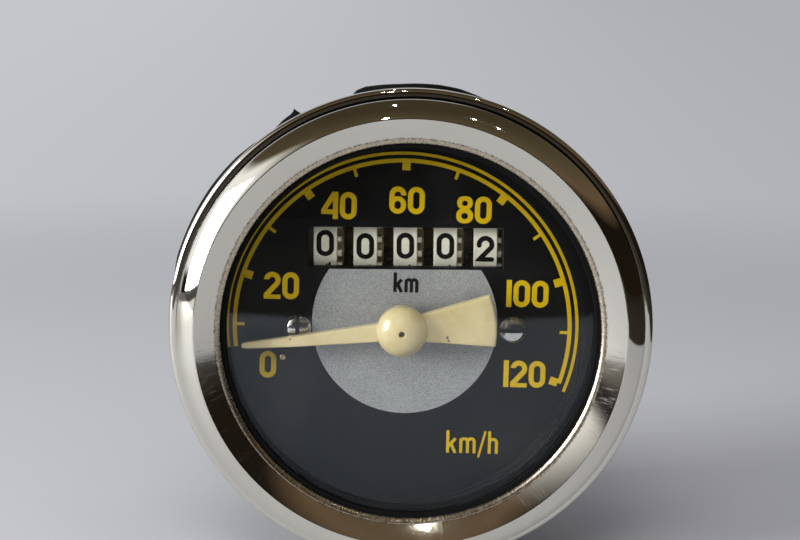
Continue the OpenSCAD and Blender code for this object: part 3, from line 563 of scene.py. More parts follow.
def screw_plate(name):
    """Bright plating of the dial screws, with painted shade on the floor of their slots."""
    finish = Finish(name, Metallic=1.0)
    across, depth, up = finish.parts(finish.place())
    upright = (across / MM - (HUB_X + SCREWS[0][0])).size().above(0.42, 0.37)
    level = (up / MM - (HUB_Y + SCREWS[1][1])).size().above(0.42, 0.37) * across.above(0.0, MM)
    # Painted shade: the floors of the slots are darkened and roughened to stand for the shadow inside them.
    slot_shade = (upright + level) * (depth / MM + DIAL_Z).above(-1.05, -0.9)
    cloud = finish.noise(700, 5.0)
    plate = finish.mix(cloud.above(0.45, 0.75) * 0.6, (0.80, 0.79, 0.78, 1), (0.62, 0.60, 0.57, 1))
    return finish.feed(
        Base_Color=finish.mix(slot_shade, plate, srgb(44, 34, 28)),
        Roughness=0.06 + cloud.above(0.5, 0.8) * 0.1 + slot_shade * 0.45,
        Normal=finish.bump(cloud, 0.004, 0.4))


def enamel(name):
    """Glossy black paint with a little orange peel, dust and faint rubbed patches."""
    finish = Finish(name, Coat_Weight=0.35, Coat_Roughness=0.08, Specular_IOR_Level=0.5)
    peel = finish.noise(420, 2.0, 0.5)
    dust = finish.noise(3800, 3.0, 0.7).above(0.62, 0.78)
    rub = finish.noise(55, 6.0, 0.65).above(0.5, 0.72)
    return finish.feed(
        Base_Color=finish.mix(rub * 0.12 + dust * 0.3, srgb(20, 20, 21), srgb(52, 51, 50)),
        Roughness=0.24 + rub * 0.05 + dust * 0.2,
        Normal=finish.bump(peel, 0.03, 0.35))


def rubber(name, tone, dust_tone, bloom):
    """Matt moulded rubber with dust in its pores."""
    finish = Finish(name, Specular_IOR_Level=0.14)
    pores = finish.noise(2400, 4.0, 0.7)
    dust = finish.noise(120, 6.0, 0.7).above(0.5, 0.75)
    return finish.feed(
        Base_Color=finish.mix(dust * bloom + pores.above(0.62, 0.8) * bloom, tone, dust_tone),
        Roughness=0.62 + pores * 0.25,
        Normal=finish.bump(pores, 0.02, 0.5))


def clear_lens(name):
    """Clear glass that reflects more the more it is seen edge on, with a trace of dust."""
    finish = Finish(name, Metallic=1.0, Roughness=0.02, Base_Color=(0.82, 0.91, 1.0, 1))
    facing = finish.node("ShaderNodeLayerWeight", inputs={"Blend": 0.5}, output=1)
    mirror = 0.03 + 0.9 * facing ** 5.0
    clear = finish.node("ShaderNodeBsdfTransparent", inputs={"Color": (0.985, 0.99, 0.99, 1)})
    dust = finish.node("ShaderNodeBsdfDiffuse", inputs={"Color": srgb(205, 203, 200)})
    glass = finish.blend(mirror, clear, finish.shader)
    specks = finish.noise(5200, 2.0, 0.6).above(0.70, 0.78) * finish.noise(90, 4.0).above(0.45, 0.7)
    film = specks * 0.25 + finish.noise(60, 5.0, 0.6).above(0.5, 0.9) * 0.012
    finish.show(finish.blend(film, glass, dust))
    return finish.material


def dial_coat(name):
    """Satin black dial with a fine tooth and faint wiping marks."""
    finish = Finish(name, Specular_IOR_Level=0.22)
    tooth = finish.noise(6400, 3.0, 0.7)
    wipe = finish.noise(70, 6.0, 0.65)
    return finish.feed(
        Base_Color=finish.mix(wipe.above(0.4, 0.8) * 0.6 + tooth.above(0.6, 0.85) * 0.3,
                              srgb(5, 5, 5), srgb(13, 13, 14)),
        Roughness=0.36 + tooth * 0.12 + wipe.above(0.45, 0.75) * 0.08,
        Normal=finish.bump(tooth, 0.0003, 0.4))


def printed(name, tone, worn, gloss):
    """Printing ink with thin patches and a speckled edge."""
    finish = Finish(name, Specular_IOR_Level=0.16)
    thin = finish.noise(420, 5.0, 0.65)
    grit = finish.noise(6000, 2.0, 0.6)
    return finish.feed(
        Base_Color=finish.mix(thin.above(0.45, 0.8) * 0.55 + grit.above(0.6, 0.8) * 0.25, tone, worn),
        Roughness=gloss + grit * 0.18,
        Normal=finish.bump(grit, 0.004, 0.5))


def flake_paint(name):
    """Silver-grey paint whose flakes show as a fine grain."""
    finish = Finish(name, Metallic=0.25, Specular_IOR_Level=0.4)
    flake = finish.noise(4800, 2.0, 0.75)
    cloud = finish.noise(110, 5.0, 0.6)
    grey = finish.mix(cloud.above(0.35, 0.7) * 0.5, srgb(156, 158, 157), srgb(172, 173, 171))
    grain = finish.mix(flake.above(0.5, 0.7) * 0.8, grey, srgb(198, 199, 196))
    return finish.feed(
        Base_Color=finish.mix(flake.above(0.46, 0.3) * 0.7, grain, srgb(108, 109, 108)),
        Roughness=0.42 + flake * 0.2,
        Normal=finish.bump(flake, 0.012, 0.6))


def cream_paint(name):
    """Thick glossy cream enamel with pinholes, a few dark specks and yellowed low spots."""
    finish = Finish(name, Coat_Weight=0.5, Coat_Roughness=0.05)
    cloud = finish.noise(140, 5.0, 0.6)
    specks = finish.specks(620, 0.20) * finish.noise(230, 2.0).above(0.52, 0.62)
    peel = finish.noise(620, 2.0, 0.5)
    cream = finish.mix(cloud.above(0.35, 0.75), srgb(220, 203, 155), srgb(207, 187, 133))
    return finish.feed(
        Base_Color=finish.mix(specks * 0.85, cream, srgb(96, 74, 48)),
        Roughness=0.2 + cloud.above(0.5, 0.8) * 0.12 + specks * 0.3,
        Normal=finish.bump(peel - specks * 0.8, 0.02, 0.35))


def drum_plastic(name):
    """Ivory moulded plastic, clean on the band and brown below the teeth, where the brown is painted shade."""
    finish = Finish(name, Specular_IOR_Level=0.4)
    _, depth, up = finish.parts(finish.place())
    across, ahead = up / MM - DRUM_Y, depth / MM + DRUM_Z
    reach = (across * across + ahead * ahead).root()
    cloud = finish.noise(330, 6.0, 0.7)
    ivory = finish.mix(cloud.above(0.4, 0.75) * 0.6, srgb(226, 223, 202), srgb(204, 198, 172))
    # Painted shade: the plastic turns brown towards the drum's axis, below the tooth tips, to stand for the shadow
    # between the teeth.
    deep_shade = reach.above(8.2, 7.6)
    grime = finish.mix(cloud.above(0.35, 0.7), srgb(150, 131, 95), srgb(112, 96, 66))
    return finish.feed(
        Base_Color=finish.mix(deep_shade, ivory, grime),
        Roughness=0.38 + cloud * 0.2 + deep_shade * 0.15,
        Normal=finish.bump(cloud, 0.01, 0.4))


CHROME = chrome_plate("chrome_plate")
SCREW_CHROME = screw_plate("screw_plate")
ENAMEL = enamel("black_enamel")
SEAL_RUBBER = rubber("seal_rubber", srgb(5, 5, 5), srgb(20, 20, 20), 0.2)
GASKET_RUBBER = rubber("gasket_rubber", srgb(9, 9, 10), srgb(34, 34, 34), 0.3)
SPACER_PLASTIC = rubber("spacer_plastic", srgb(8, 8, 9), srgb(24, 24, 24), 0.2)
GLASS = clear_lens("clear_lens")
ZINC = bright_metal("zinc_plate", (0.66, 0.66, 0.63, 1), (0.50, 0.47, 0.38, 1), 0.3)
PIN_BRASS = bright_metal("worn_brass", (0.86, 0.76, 0.58, 1), (0.70, 0.58, 0.38, 1), 0.16)
BRASS = bright_metal("turned_brass", (0.72, 0.54, 0.24, 1), (0.48, 0.34, 0.15, 1), 0.3)
ALLOY = bright_metal("cast_alloy", (0.60, 0.60, 0.61, 1), (0.42, 0.42, 0.43, 1), 0.42, 700, 0.03)
CUP_ALLOY = bright_metal("spun_alloy", (0.74, 0.74, 0.75, 1), (0.60, 0.60, 0.61, 1), 0.28)
SHEET = bright_metal("plated_sheet", (0.66, 0.66, 0.63, 1), (0.52, 0.49, 0.40, 1), 0.34)
STEEL = bright_metal("ground_steel", (0.55, 0.56, 0.57, 1), (0.38, 0.37, 0.36, 1), 0.26)
# Near-black steel for parts seen only in shadow: its colour is painted shade.
DARK_STEEL = bright_metal("aged_steel", (0.16, 0.14, 0.12, 1), (0.09, 0.07, 0.05, 1), 0.5)
MAGNET = bright_metal("dark_magnet", (0.20, 0.20, 0.21, 1), (0.13, 0.12, 0.12, 1), 0.5, 600, 0.03)
BRONZE = bright_metal("bearing_bronze", (0.60, 0.41, 0.21, 1), (0.40, 0.26, 0.13, 1), 0.36)
SPRING = bright_metal("spring_strip", (0.66, 0.50, 0.30, 1), (0.50, 0.36, 0.20, 1), 0.22)
DIAL = dial_coat("dial_coat")
YELLOW = printed("scale_ink", srgb(214, 178, 4), srgb(184, 150, 3), 0.36)
BLACK_INK = printed("black_ink", srgb(10, 10, 10), srgb(26, 25, 24), 0.4)
SILVER = flake_paint("silver_flake")
CREAM = cream_paint("cream_enamel")
DRUM_IVORY = drum_plastic("drum_ivory")

BY_SLOT = {
    "black_paint": ENAMEL, "chrome": CHROME, "clear_glass": GLASS, "black_rubber": SEAL_RUBBER,
    "black_plastic": SPACER_PLASTIC, "zinc_steel": ZINC, "dial_black": DIAL, "brass": BRASS,
    "cast_alloy": ALLOY, "sheet_alloy": CUP_ALLOY, "cream_plastic": CREAM, "white_plastic": DRUM_IVORY,
    "plated_sheet": SHEET, "ground_steel": STEEL, "magnet": MAGNET, "bronze": BRONZE,
    "spring_bronze": SPRING}
# The pointer staff and the brackets get the near-black steel as painted shade, for the dark eye of the hub and the
# shadowed edge behind the window.
DARKENED = ("pointer_staff", "left_bracket", "right_bracket")
for part in frame["record"]["subparts"]:
    slots = frame["nodes"][part["node"]].data.materials
    slots.clear()
    slots.append(DARK_STEEL if part["node"] in DARKENED else BY_SLOT[part["material_slot"]])


# Bezel, glass and rubber


def bezel_ring():
    """Rim with a half-round bead, a deep groove, a flattened ring, a dished cone and a rounded lip."""
    ring_z, groove_r = BEZEL_REAR + 2.25, RING_R - 0.5
    rise = CREST_Z - ring_z
    sheet, foot_r, inner_r = 0.6, RING_R - 3.7, groove_r - 1.25
    bead_r, bead_z, bead_w = RIM_R - 1.0, BEZEL_REAR + 1.2, 0.93
    edge, dome, crest, roll_r = 0.3, 7.92, 0.35, LIP_R + 1.0
    bead = [(foot_r, BEZEL_REAR)] + bend(bead_r, bead_z, bead_w, 1.2, -90, 0, 12)
    bead += bend(bead_r, bead_z, bead_w, 0.75, 0, 90, 14)[1:]
    groove = [(groove_r - 0.5, BEZEL_REAR + 1.9), (groove_r - 0.7, BEZEL_REAR + 2.1),
              (groove_r - 0.7, ring_z + 0.3)]
    ring = bend(RING_R - 0.863, CREST_Z - 2.393, edge, edge, -25, 38, 8)
    ring += bend(CREST_R - 3.1, CREST_Z - 7.29, dome, dome, 40, 66.5, 16)
    ring += bend(CREST_R - 0.082, CREST_Z - 0.352, crest, crest, 68, 112, 6)
    lip = bend(roll_r, LIP_Z - 0.55, 0.98, 0.75, 92, 176, 12)
    lip += [(LIP_R + 0.06, LIP_Z - 0.57), (roll_r, LIP_Z - 0.42)]
    inside = bend(CREST_R, ring_z, inner_r - CREST_R, rise - 0.75, 90, 0, 16)
    inside += [(inner_r, BEZEL_REAR + sheet), (foot_r, BEZEL_REAR + sheet)]
    profile = bead + groove + ring + lip + inside
    lathe("bezel_ring", "_plated", CHROME, "chrome", profile, steps=240, sharp=15)


def glass_lens():
    thick, foot_z = 1.8, rear("glass_lens")
    rise = front("glass_lens") - foot_z - thick
    ball = (GLASS_FOOT_R ** 2 + rise ** 2) / (2 * rise)

    def dome(z, radii):
        return [(r, z + math.sqrt(ball ** 2 - r ** 2) - ball + rise) for r in radii]

    radii = [GLASS_FOOT_R * i / 40 for i in range(41)]
    profile = dome(foot_z, radii) + [(GLASS_R, foot_z), (GLASS_R, foot_z + thick)]
    profile += dome(foot_z + thick, radii[::-1])
    lathe("glass_lens", "_clear", GLASS, "clear_glass", profile, steps=180, sharp=60)


def lens_seal():
    z0, z1 = rear("lens_seal"), front("lens_seal")
    seat, wall_r, flap_r = GLASS_R + 0.02, GLASS_R + 1.6, width("lens_seal") / 2
    foot, cap, soft = 0.8, 0.5, 0.25
    profile = [(SEAL_IN_R, z0), (flap_r, z0), (flap_r, z0 + foot), (wall_r, z0 + foot), (wall_r, z1)]
    profile += bend(SEAL_IN_R + soft, z1 - soft, soft, soft, 90, 180, 5)
    profile += [(SEAL_IN_R, z1 - cap), (seat, z1 - cap), (seat, z0 + foot), (SEAL_IN_R, z0 + foot)]
    lathe("lens_seal", "_rubber", SEAL_RUBBER, "black_rubber", profile, steps=200)


def spacer_ring():
    """Black wall between dial and glass, in three rounded steps."""
    count, ledge, soft = 3, 0.256, 0.12
    height = (MOUTH_Z - DIAL_Z) / count
    profile = [(DIAL_R, DIAL_Z)]
    for step in range(count):
        r, z = SPACER_IN_R + ledge * step, DIAL_Z + height * step
        profile += [(r, z)] + bend(r + soft, z + height - soft, soft, soft, 180, 90, 4)
    profile += [(DIAL_R, MOUTH_Z)]
    lathe("spacer_ring", "_wall", SPACER_PLASTIC, "black_plastic", profile, HUB_X, HUB_Y, 200)


def panel_gasket():
    """Rubber behind the rim, trimmed unevenly, with a moulding flap and a spike of flash."""
    front_z, back_z = front("panel_gasket"), rear("panel_gasket")
    hole_r, edge_r, soft = CASE_R + 0.05, RIM_R - 1.25, 0.25
    # Angle in degrees, and how far the edge stands out there
    trim = ((0, 0), (58, 0.2), (70, 0.6), (74, 1.1), (79, 1.55), (84, 1.65), (93, 1.55), (96, 1.65), (101, 1.8),
            (103.2, 1.5), (104.6, 0.75), (107, 0.6), (112, 0.5), (116.4, 0.6), (117.4, 1.0), (118, 1.75),
            (118.2, 2.25), (118.5, 1.95), (119.4, 1.65), (122, 1.4), (125, 0.9), (127, 0.8), (131, 1.2),
            (136, 1.45), (145, 1.55), (163, 1.55), (168, 1.2), (174, 0.6), (180, 0.3), (200, 0), (360, 0))

    def edge(degrees):
        at = max(i for i, (angle, _) in enumerate(trim[:-1]) if angle <= degrees)
        (a0, r0), (a1, r1) = trim[at], trim[at + 1]
        return edge_r + r0 + (r1 - r0) * (degrees - a0) / (a1 - a0) + 0.03 * math.sin(math.radians(13 * degrees))

    def section(a):
        r = edge(math.degrees(a))
        return ([(hole_r, back_z), (r - soft, back_z)] + bend(r - soft, back_z + soft, soft, soft, -60, 0, 3)
                + bend(r - soft, front_z - soft, soft, soft, 0, 60, 3) + [(r - soft, front_z), (hole_r, front_z)])

    lathe("panel_gasket", "_rubber", GASKET_RUBBER, "black_rubber", section, steps=1440)


# Case and mounting


def case_shell():
    wall, corner, lap = 0.8, 3.0, 0.6
    flange_r = width("case_shell") / 2
    foot_r = CASE_R - corner
    neck_r = width("boss_washer") / 2 - 3.95
    plate_r = foot_r - lap + 0.05
    profile = [(foot_r - lap, 0)] + bend(foot_r, corner, corner, corner, -90, 0, 14)
    profile += [(CASE_R, MOUTH_Z - 2 * wall)] + bend(CASE_R + wall, MOUTH_Z - 2 * wall, wall, wall, 180, 90, 6)
    profile += [(flange_r, MOUTH_Z - wall), (flange_r, MOUTH_Z), (CASE_R - wall, MOUTH_Z)]
    profile += bend(foot_r, corner, corner - wall, corner - wall, 0, -90, 10) + [(foot_r - lap, wall)]
    plate = [bend(0, 0, plate_r, plate_r, 0, 357.5, 143),
             bend(HUB_X, HUB_Y, neck_r, neck_r, 0, 355, 71)]
    piece = Shape().turn(profile, steps=180).slab(plate, 0.0, wall).make("case_shell_enamel", ENAMEL)
    fit(piece, "housing", "black_paint", "case_shell")


def drive_boss():
    """Cable boss with its thread, the thicker neck for the nut and the ferrule's socket."""
    rear_z, front_z = rear("drive_boss"), front("drive_boss")
    neck_z, core_r, socket_r, socket_l, bush_r = rear("boss_nut"), 8.35, 6.0, 6, 3.52
    neck_r, flange_r, flange_z = 10, 12, front_z - 1.2
    profile = [(bush_r, front_z), (bush_r, rear_z + socket_l), (socket_r, rear_z + socket_l)]
    profile += [(socket_r, rear_z + 0.5), (socket_r + 0.5, rear_z)]
    profile += [(core_r - 0.7, rear_z), (core_r, rear_z + 0.7), (core_r, neck_z - 0.5)]
    profile += [(neck_r - 0.3, neck_z), (neck_r, neck_z + 0.3), (neck_r, flange_z), (flange_r, flange_z)]
    profile += [(flange_r, front_z)]
    piece = Shape().turn(profile, HUB_X, HUB_Y, 120).make("drive_boss_threaded", ALLOY)
    turns, pitch, ridge = 6.6, 1.5, 0.62
    THREAD.run(piece, ALLOY, Turns=turns, Pitch=pitch * MM, Core_radius=(core_r + 0.01) * MM, Depth=ridge * MM,
               Start=gauge(HUB_X, HUB_Y, rear_z + 1 + turns * pitch))
    piece.data.set_sharp_from_angle(angle=math.radians(50))
    fit(piece, "housing", "cast_alloy", "drive_boss")


def boss_nut():
    """Six-sided nut with turned-off corners."""
    z0, z1, flats, bore, soft = rear("boss_nut"), front("boss_nut"), 13.5, 10.02, 0.4
    cuts = [0.3 * i for i in range(6)]

    def section(a):
        side = flats / math.cos(a % (math.pi / 3) - math.pi / 6)
        reach = [min(side, flats + 0.25 + 1.5 * cut) for cut in cuts]
        outer = [(r, z0 + cut) for r, cut in zip(reach, cuts)]
        outer += [(r, z1 - cut) for r, cut in zip(reach[::-1], cuts[::-1])]
        return [(bore, z1 - soft), (bore, z0 + soft), (bore + soft, z0)] + outer + [(bore + soft, z1)]

    lathe("boss_nut", "_chamfered", ZINC, "zinc_steel", section, HUB_X, HUB_Y, 288, 25)


def boss_washer():
    z0, z1, outer, bore = rear("boss_washer"), front("boss_washer"), width("boss_washer") / 2, 10.05
    soft = 0.2
    profile = [(bore, z0 + soft), (bore + soft, z0), (outer - soft, z0), (outer, z0 + soft)]
    profile += [(outer, z1 - soft), (outer - soft, z1), (bore + soft, z1), (bore, z1 - soft)]
    lathe("boss_washer", "_plated", ZINC, "zinc_steel", profile, HUB_X, HUB_Y)


def mounting_studs():
    """Two threaded studs on the back of the case."""
    length, core_r, outer_r, plain, taper = -rear("mounting_studs"), 2.12, 2.5, 1.6, 0.6
    profile = [(0, 0), (outer_r, 0), (outer_r, -plain), (core_r, -plain - 0.5), (core_r, taper - length)]
    profile += [(core_r - taper, -length), (0, -length)]
    piece = Shape().turn(profile, steps=48).make("mounting_studs_threaded", ZINC)
    turns, pitch, ridge, thread_z = 15.5, 0.8, 0.36, -2.6
    THREAD.run(piece, ZINC, Turns=turns, Pitch=pitch * MM, Core_radius=(core_r + 0.01) * MM, Depth=ridge * MM,
               Start=gauge(0, 0, thread_z))
    span = width("mounting_studs") - 2 * outer_r
    ROW.run(piece, ZINC, Count=2, Start=gauge(-span / 2, 0, 0), Step=gauge(span, 0, 0), Turn=0.0)
    piece.data.set_sharp_from_angle(angle=math.radians(50))
    fit(piece, "housing", "zinc_steel", "mounting_studs")


# Dial


def on_dial(lift):
    """Lays print on the dial, measured from the dial's centre."""
    return lambda across, up, thick: (HUB_X + across, HUB_Y + up, DIAL_Z + lift + thick)


def soft_box(cx, cy, half_w, half_h, r, steps=5):
    """Outline of a box with rounded corners."""
    points = []
    for sx, sy, a in ((1, 1, 0), (-1, 1, 90), (-1, -1, 180), (1, -1, 270)):
        points += bend(cx + sx * (half_w - r), cy + sy * (half_h - r), r, r, a, a + 90, steps)
    return points


HUB_HOLE_R = 1.3
PIN_LOW, PIN_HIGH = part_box("zero_stop_pin")
PIN = ((PIN_LOW.x + PIN_HIGH.x) / 2 / MM - HUB_X, (PIN_LOW.z + PIN_HIGH.z) / 2 / MM - HUB_Y)


def dial_plate():
    """Black plate with the odometer window, whose rim is turned in with a soft edge."""
    sheet, lip, corner, flange, screw_r, pin_r = 0.8, 0.3, 0.05, 1.7, 0.95, 0.52
    back_z, low_z = DIAL_Z - sheet, DIAL_Z - flange
    x, y = HUB_X + WINDOW_X, HUB_Y + WINDOW_Y

    def window(out):
        return soft_box(x, y, WINDOW_W / 2 + out, WINDOW_H / 2 + out, corner + out)

    holes = [window(lip), bend(HUB_X, HUB_Y, HUB_HOLE_R, HUB_HOLE_R, 0, 345, 23)]
    holes += [bend(HUB_X + sx, HUB_Y + sy, screw_r, screw_r, 0, 345, 23) for sx, sy in SCREWS]
    holes += [bend(HUB_X + PIN[0], HUB_Y + PIN[1], pin_r, pin_r, 0, 337.5, 15)]
    shape = Shape().slab([bend(HUB_X, HUB_Y, DIAL_R, DIAL_R, 0, 358, 179)] + holes, back_z, DIAL_Z)
    section = [(lip, back_z), (lip, DIAL_Z)] + bend(lip, DIAL_Z - lip, lip, lip, 90, 180, 6)[1:]
    section += [(0.0, low_z), (lip - 0.05, low_z), (lip - 0.05, back_z)]
    rows = [window(out) for out, _ in section]
    shape.loft([[row[i] + (z,) for row, (_, z) in zip(rows, section)] for i in range(len(rows[0]))], ring=True)
    piece = shape.make("dial_plate_coated", DIAL)
    fit(piece, "housing", "dial_black", "dial_plate")


def degrees_of(speed):
    """Angle of a speed on the scale."""
    start, step = 197.5, 1.81
    return start - step * speed


def dial_scale():
    """Two arcs from the resting blade to 120, with marks from 10 on."""
    lay, blade, inner_r, outer_r = on_dial(0.02), 187.3, 27.4, 28.85
    arcs = Shape()
    for r, half, past in ((30.38, 0.27, 2.2), (29.1, 0.355, 0.0)):
        arcs.ribbon(bend(0, 0, r, r, blade, degrees_of(120) - past, 180), half, lay, 0.02)
    pieces = [arcs.make("scale_arcs", YELLOW)]
    for step, half in ((20, 0.7), (10, 0.26)):
        mark = Shape().ribbon([(inner_r, 0), (outer_r, 0)], half, lay, 0.024).make("scale_mark", YELLOW)
        RING.run(mark, YELLOW, Count=6, First_angle=math.radians(degrees_of(step)),
                 Step_angle=math.radians(degrees_of(20) - degrees_of(0)),
                 Centre=gauge(HUB_X, HUB_Y, 0), Axis=(0.0, -1.0, 0.0))
        pieces.append(mark)
    return pieces


# Scale numbers are outlines with holes; w and h are outer sizes and s is the stroke


def stadium(w, h, cx=0.0, cy=0.0):
    """Closed loop with round ends."""
    r = min(w, h) / 2
    loop = soft_box(cx, cy, w / 2, h / 2, r, 10)
    return [p for i, p in enumerate(loop) if math.dist(p, loop[i - 1]) > 1e-6]


def full_zero(w, h, s):
    return [stadium(w, h), stadium(w - 2 * s, h - 2 * s)]


def full_one(w, h, s):
    return [[(-w / 2, -h / 2), (w / 2, -h / 2), (w / 2, h / 2), (-w / 2, h / 2)]]


def full_two(w, h, s):
    r, cy, bar, lean = w / 2, h / 2 - w / 2, 0.155 * h, 42
    outer, inner = bend(0, cy, r, r, 180, -lean, 22), bend(0, cy, r - s, r - s, -lean, 180, 22)
    fall = math.cos(math.radians(lean)) / math.sin(math.radians(lean))
    foot_x = outer[-1][0] - (outer[-1][1] + h / 2 - bar) / fall
    left_y = inner[0][1] - (inner[0][0] + r) * fall
    return [[(-r, h / 2 - 0.28 * h)] + outer + [(foot_x, bar - h / 2), (r, bar - h / 2), (r, -h / 2), (-r, -h / 2),
            (-r, left_y)] + inner + [(s - r, h / 2 - 0.28 * h)]]


def full_four(w, h, s):
    left, right, bar_low, bar_top = -w / 2, w / 2, -0.325 * h, -0.15 * h
    stem = right - s
    outline = [(stem - 0.05 * w, h / 2), (right, h / 2), (right, -h / 2), (stem, -h / 2), (stem, bar_low),
               (left, bar_low), (left, bar_top - 0.01 * h)]
    return [outline, [(stem, 0.185 * h), (stem, bar_top), (stem - 0.36 * w, bar_top)]]


def full_six(w, h, s):
    r, bowl = w / 2, 0.64 * h
    cut, crown, belly = h / 2 - 0.325 * h, h / 2 - w / 2, bowl - h / 2 - w / 2
    meet = math.degrees(math.acos((s - r) / r))
    outline = [(r, cut)] + bend(0, crown, r, r, 0, 180, 22) + bend(0, r - h / 2, r, r, 180, 360, 22)
    outline += bend(0, belly, r, r, 0, meet, 16) + bend(0, crown, r - s, r - s, 180, 0, 16) + [(r - s, cut)]
    return [outline, stadium(w - 2 * s, bowl - 1.8 * s, 0, bowl / 2 - h / 2)]


def full_eight(w, h, s):
    loops = ((0.93 * w, 0.49 * h, 0.255 * h), (w, 0.555 * h, -0.2225 * h))

    def half_width(y):
        spans = []
        for wide, high, cy in loops:
            rise = abs(y - cy) / (high / 2)
            spans.append(wide / 2 * (1 - rise ** 2.3) ** (1 / 2.3) if rise < 1 else 0)
        return max(spans)

    levels = [-h / 2 * math.cos(math.pi * i / 60) for i in range(1, 60)]
    right = [(half_width(y), y) for y in levels]
    outline = [(0, -h / 2)] + right + [(0, h / 2)] + [(-x, y) for x, y in right[::-1]]
    return [outline, stadium(0.34 * w, 0.19 * h, 0, 0.235 * h), stadium(0.40 * w, 0.225 * h, 0, -0.23 * h)]


DIAL_DIGITS = {"0": full_zero, "1": full_one, "2": full_two, "4": full_four, "6": full_six, "8": full_eight}


# Letters and drum numbers are strokes along their middle lines


def open_lines(*lines):
    return [(line, False) for line in lines]


def loops(*lines):
    return [(line, True) for line in lines]


def zero(w, h):
    return loops(stadium(w, h))


def flagged_one(w, h):
    return open_lines([(-0.1 * w, h * 0.3), (w * 0.25, h / 2), (w * 0.25, -h / 2)])


def two(w, h):
    r = w / 2
    hook = [(-r, h / 2 - 1.12 * r)] + bend(0, h / 2 - r, r, r, 180, -28, 20)
    return open_lines(hook + [(-r, -h / 2), (r, -h / 2)])


def three(w, h):
    r, q = w / 2, h / 4
    return open_lines([(-r, h / 2 - 0.9 * q)] + bend(0, q, r, q, 165, -80, 16) + [(-0.3 * r, 0)],
                      [(-0.3 * r, 0)] + bend(0, -q, r, q, 80, -165, 16))


def four(w, h):
    stem, bar = 0.24 * w, -0.22 * h
    return open_lines([(stem - 0.12 * w, h / 2), (-w / 2, bar), (w / 2 + 0.1 * w, bar)],
                      [(stem, -h / 2), (stem, 0.12 * h)])


def five(w, h):
    r, q = w / 2, 0.3 * h
    return open_lines([(0.9 * r, h / 2), (-0.85 * r, h / 2), (-r, 0.05 * h)]
                      + bend(0, q - h / 2, r, q, 130, -165, 18))


def six(w, h):
    r, bowl = w / 2, 0.60 * h
    hook = bend(0, h / 2 - r, r, r, 0, 180, 16)
    return loops(stadium(w, bowl, 0, bowl / 2 - h / 2)) + open_lines(
        [(r, h / 2 - 1.15 * r)] + hook + [(-r, r - h / 2)])


def seven(w, h):
    return open_lines([(-w / 2, h / 2), (w / 2, h / 2), (-0.15 * w, -h / 2)])


def eight(w, h):
    upper, lower = 0.46 * h, 0.54 * h
    return loops(stadium(0.92 * w, upper, 0, h / 2 - upper / 2), stadium(w, lower, 0, lower / 2 - h / 2))


def nine(w, h):
    return [([(-x, -y) for x, y in line], ring) for line, ring in six(w, h)]


DRUM_DIGITS = (zero, flagged_one, two, three, four, five, six, seven, eight, nine)


def letter_k(w, h, x_height):
    knee = -h / 2 + 0.42 * x_height
    return open_lines([(-w / 2, -h / 2), (-w / 2, h / 2)], [(w / 2, x_height - h / 2), (-w / 2 + 0.05, knee)],
                      [(-w / 2 + 0.42 * w, knee + 0.2 * x_height), (w / 2, -h / 2)])


def arch(x0, x1, foot, top):
    r = (x1 - x0) / 2
    return [(x0, foot)] + bend((x0 + x1) / 2, top - r, r, r, 180, 0, 12) + [(x1, foot)]


def letter_m(w, h, x_height):
    top = x_height - h / 2
    return open_lines([(-w / 2, -h / 2), (-w / 2, top)], arch(-w / 2, 0, -h / 2, top), arch(0, w / 2, -h / 2, top))


def letter_h(w, h, x_height):
    return open_lines([(-w / 2, -h / 2), (-w / 2, h / 2)], arch(-w / 2, w / 2, -h / 2, x_height - h / 2))


def slash(w, h, x_height):
    return open_lines([(-w / 2, -h / 2 - 0.18 * h), (w / 2, h / 2)])


def write(shape, strokes, across, half, lay, thick, round_ends=False):
    """Adds the strokes of one sign at its place, each a hair thicker than the one before."""
    for i, (line, ring) in enumerate(strokes):
        moved = finer([(x + across, y) for x, y in line], 0.3, ring)
        shape.ribbon(moved, half, lay, thick + 0.004 * i, ring, round_ends)


def dial_numbers():
    """Scale numbers, each given by its middle and turned with the print."""
    stroke, tall, wide, bar, gap = 0.89, 4.75, 2.9, 0.9, 0.3
    shape = Shape()
    for text, x, y in (("0", -23.34, -6.87), ("20", -20.97, 7.09), ("40", -11.04, 21.18), ("60", 0.68, 22.18),
                       ("80", 12.24, 20.59), ("100", 21.69, 5.98), ("120", 21.39, -8.22)):
        widths = [bar if sign == "1" else wide for sign in text]
        left = -(sum(widths) + gap * (len(text) - 1)) / 2
        place = turned_by(PRINT_TURN, HUB_X + x, HUB_Y + y)
        for sign, w in zip(text, widths):
            outlines = [[place(left + w / 2 + px, py) for px, py in outline]
                        for outline in DIAL_DIGITS[sign](w, tall, stroke)]
            shape.slab(outlines, DIAL_Z - 0.005, DIAL_Z + 0.042)
            left += w + gap
    return shape.make("scale_numbers", YELLOW)


def unit_words():
    """The two units: speed on the dial, distance on the disc."""
    speed = ((letter_k, -3.55, 1.35, 1), (letter_m, -0.75, 2.35, 1), (slash, 1.75, 1.2, 0.72),
             (letter_h, 3.7, 1.25, 1))
    distance = ((letter_k, -1.3, 1.12, 1), (letter_m, 0.98, 1.85, 1))
    words = []
    for name, finish, lift, x, y, stroke, stem, x_height, signs in (
            ("speed_unit", YELLOW, 0.02, 12.38, -20.47, 0.52, 4.1, 2.85, speed),
            ("distance_unit", BLACK_INK, 0.05, 0.59, 7.81, 0.58, 3.55, 2.52, distance)):
        laid, place = on_dial(lift), turned_by(PRINT_TURN, x, y)

        def lay(across, up, thick):
            return laid(*place(across, up), thick)

        shape = Shape()
        for sign, across, w, weight in signs:
            write(shape, sign(w, stem - 0.1, x_height - stroke / 2), across, weight * stroke / 2, lay, 0.022)
        words.append(shape.make(name, finish))
    return words


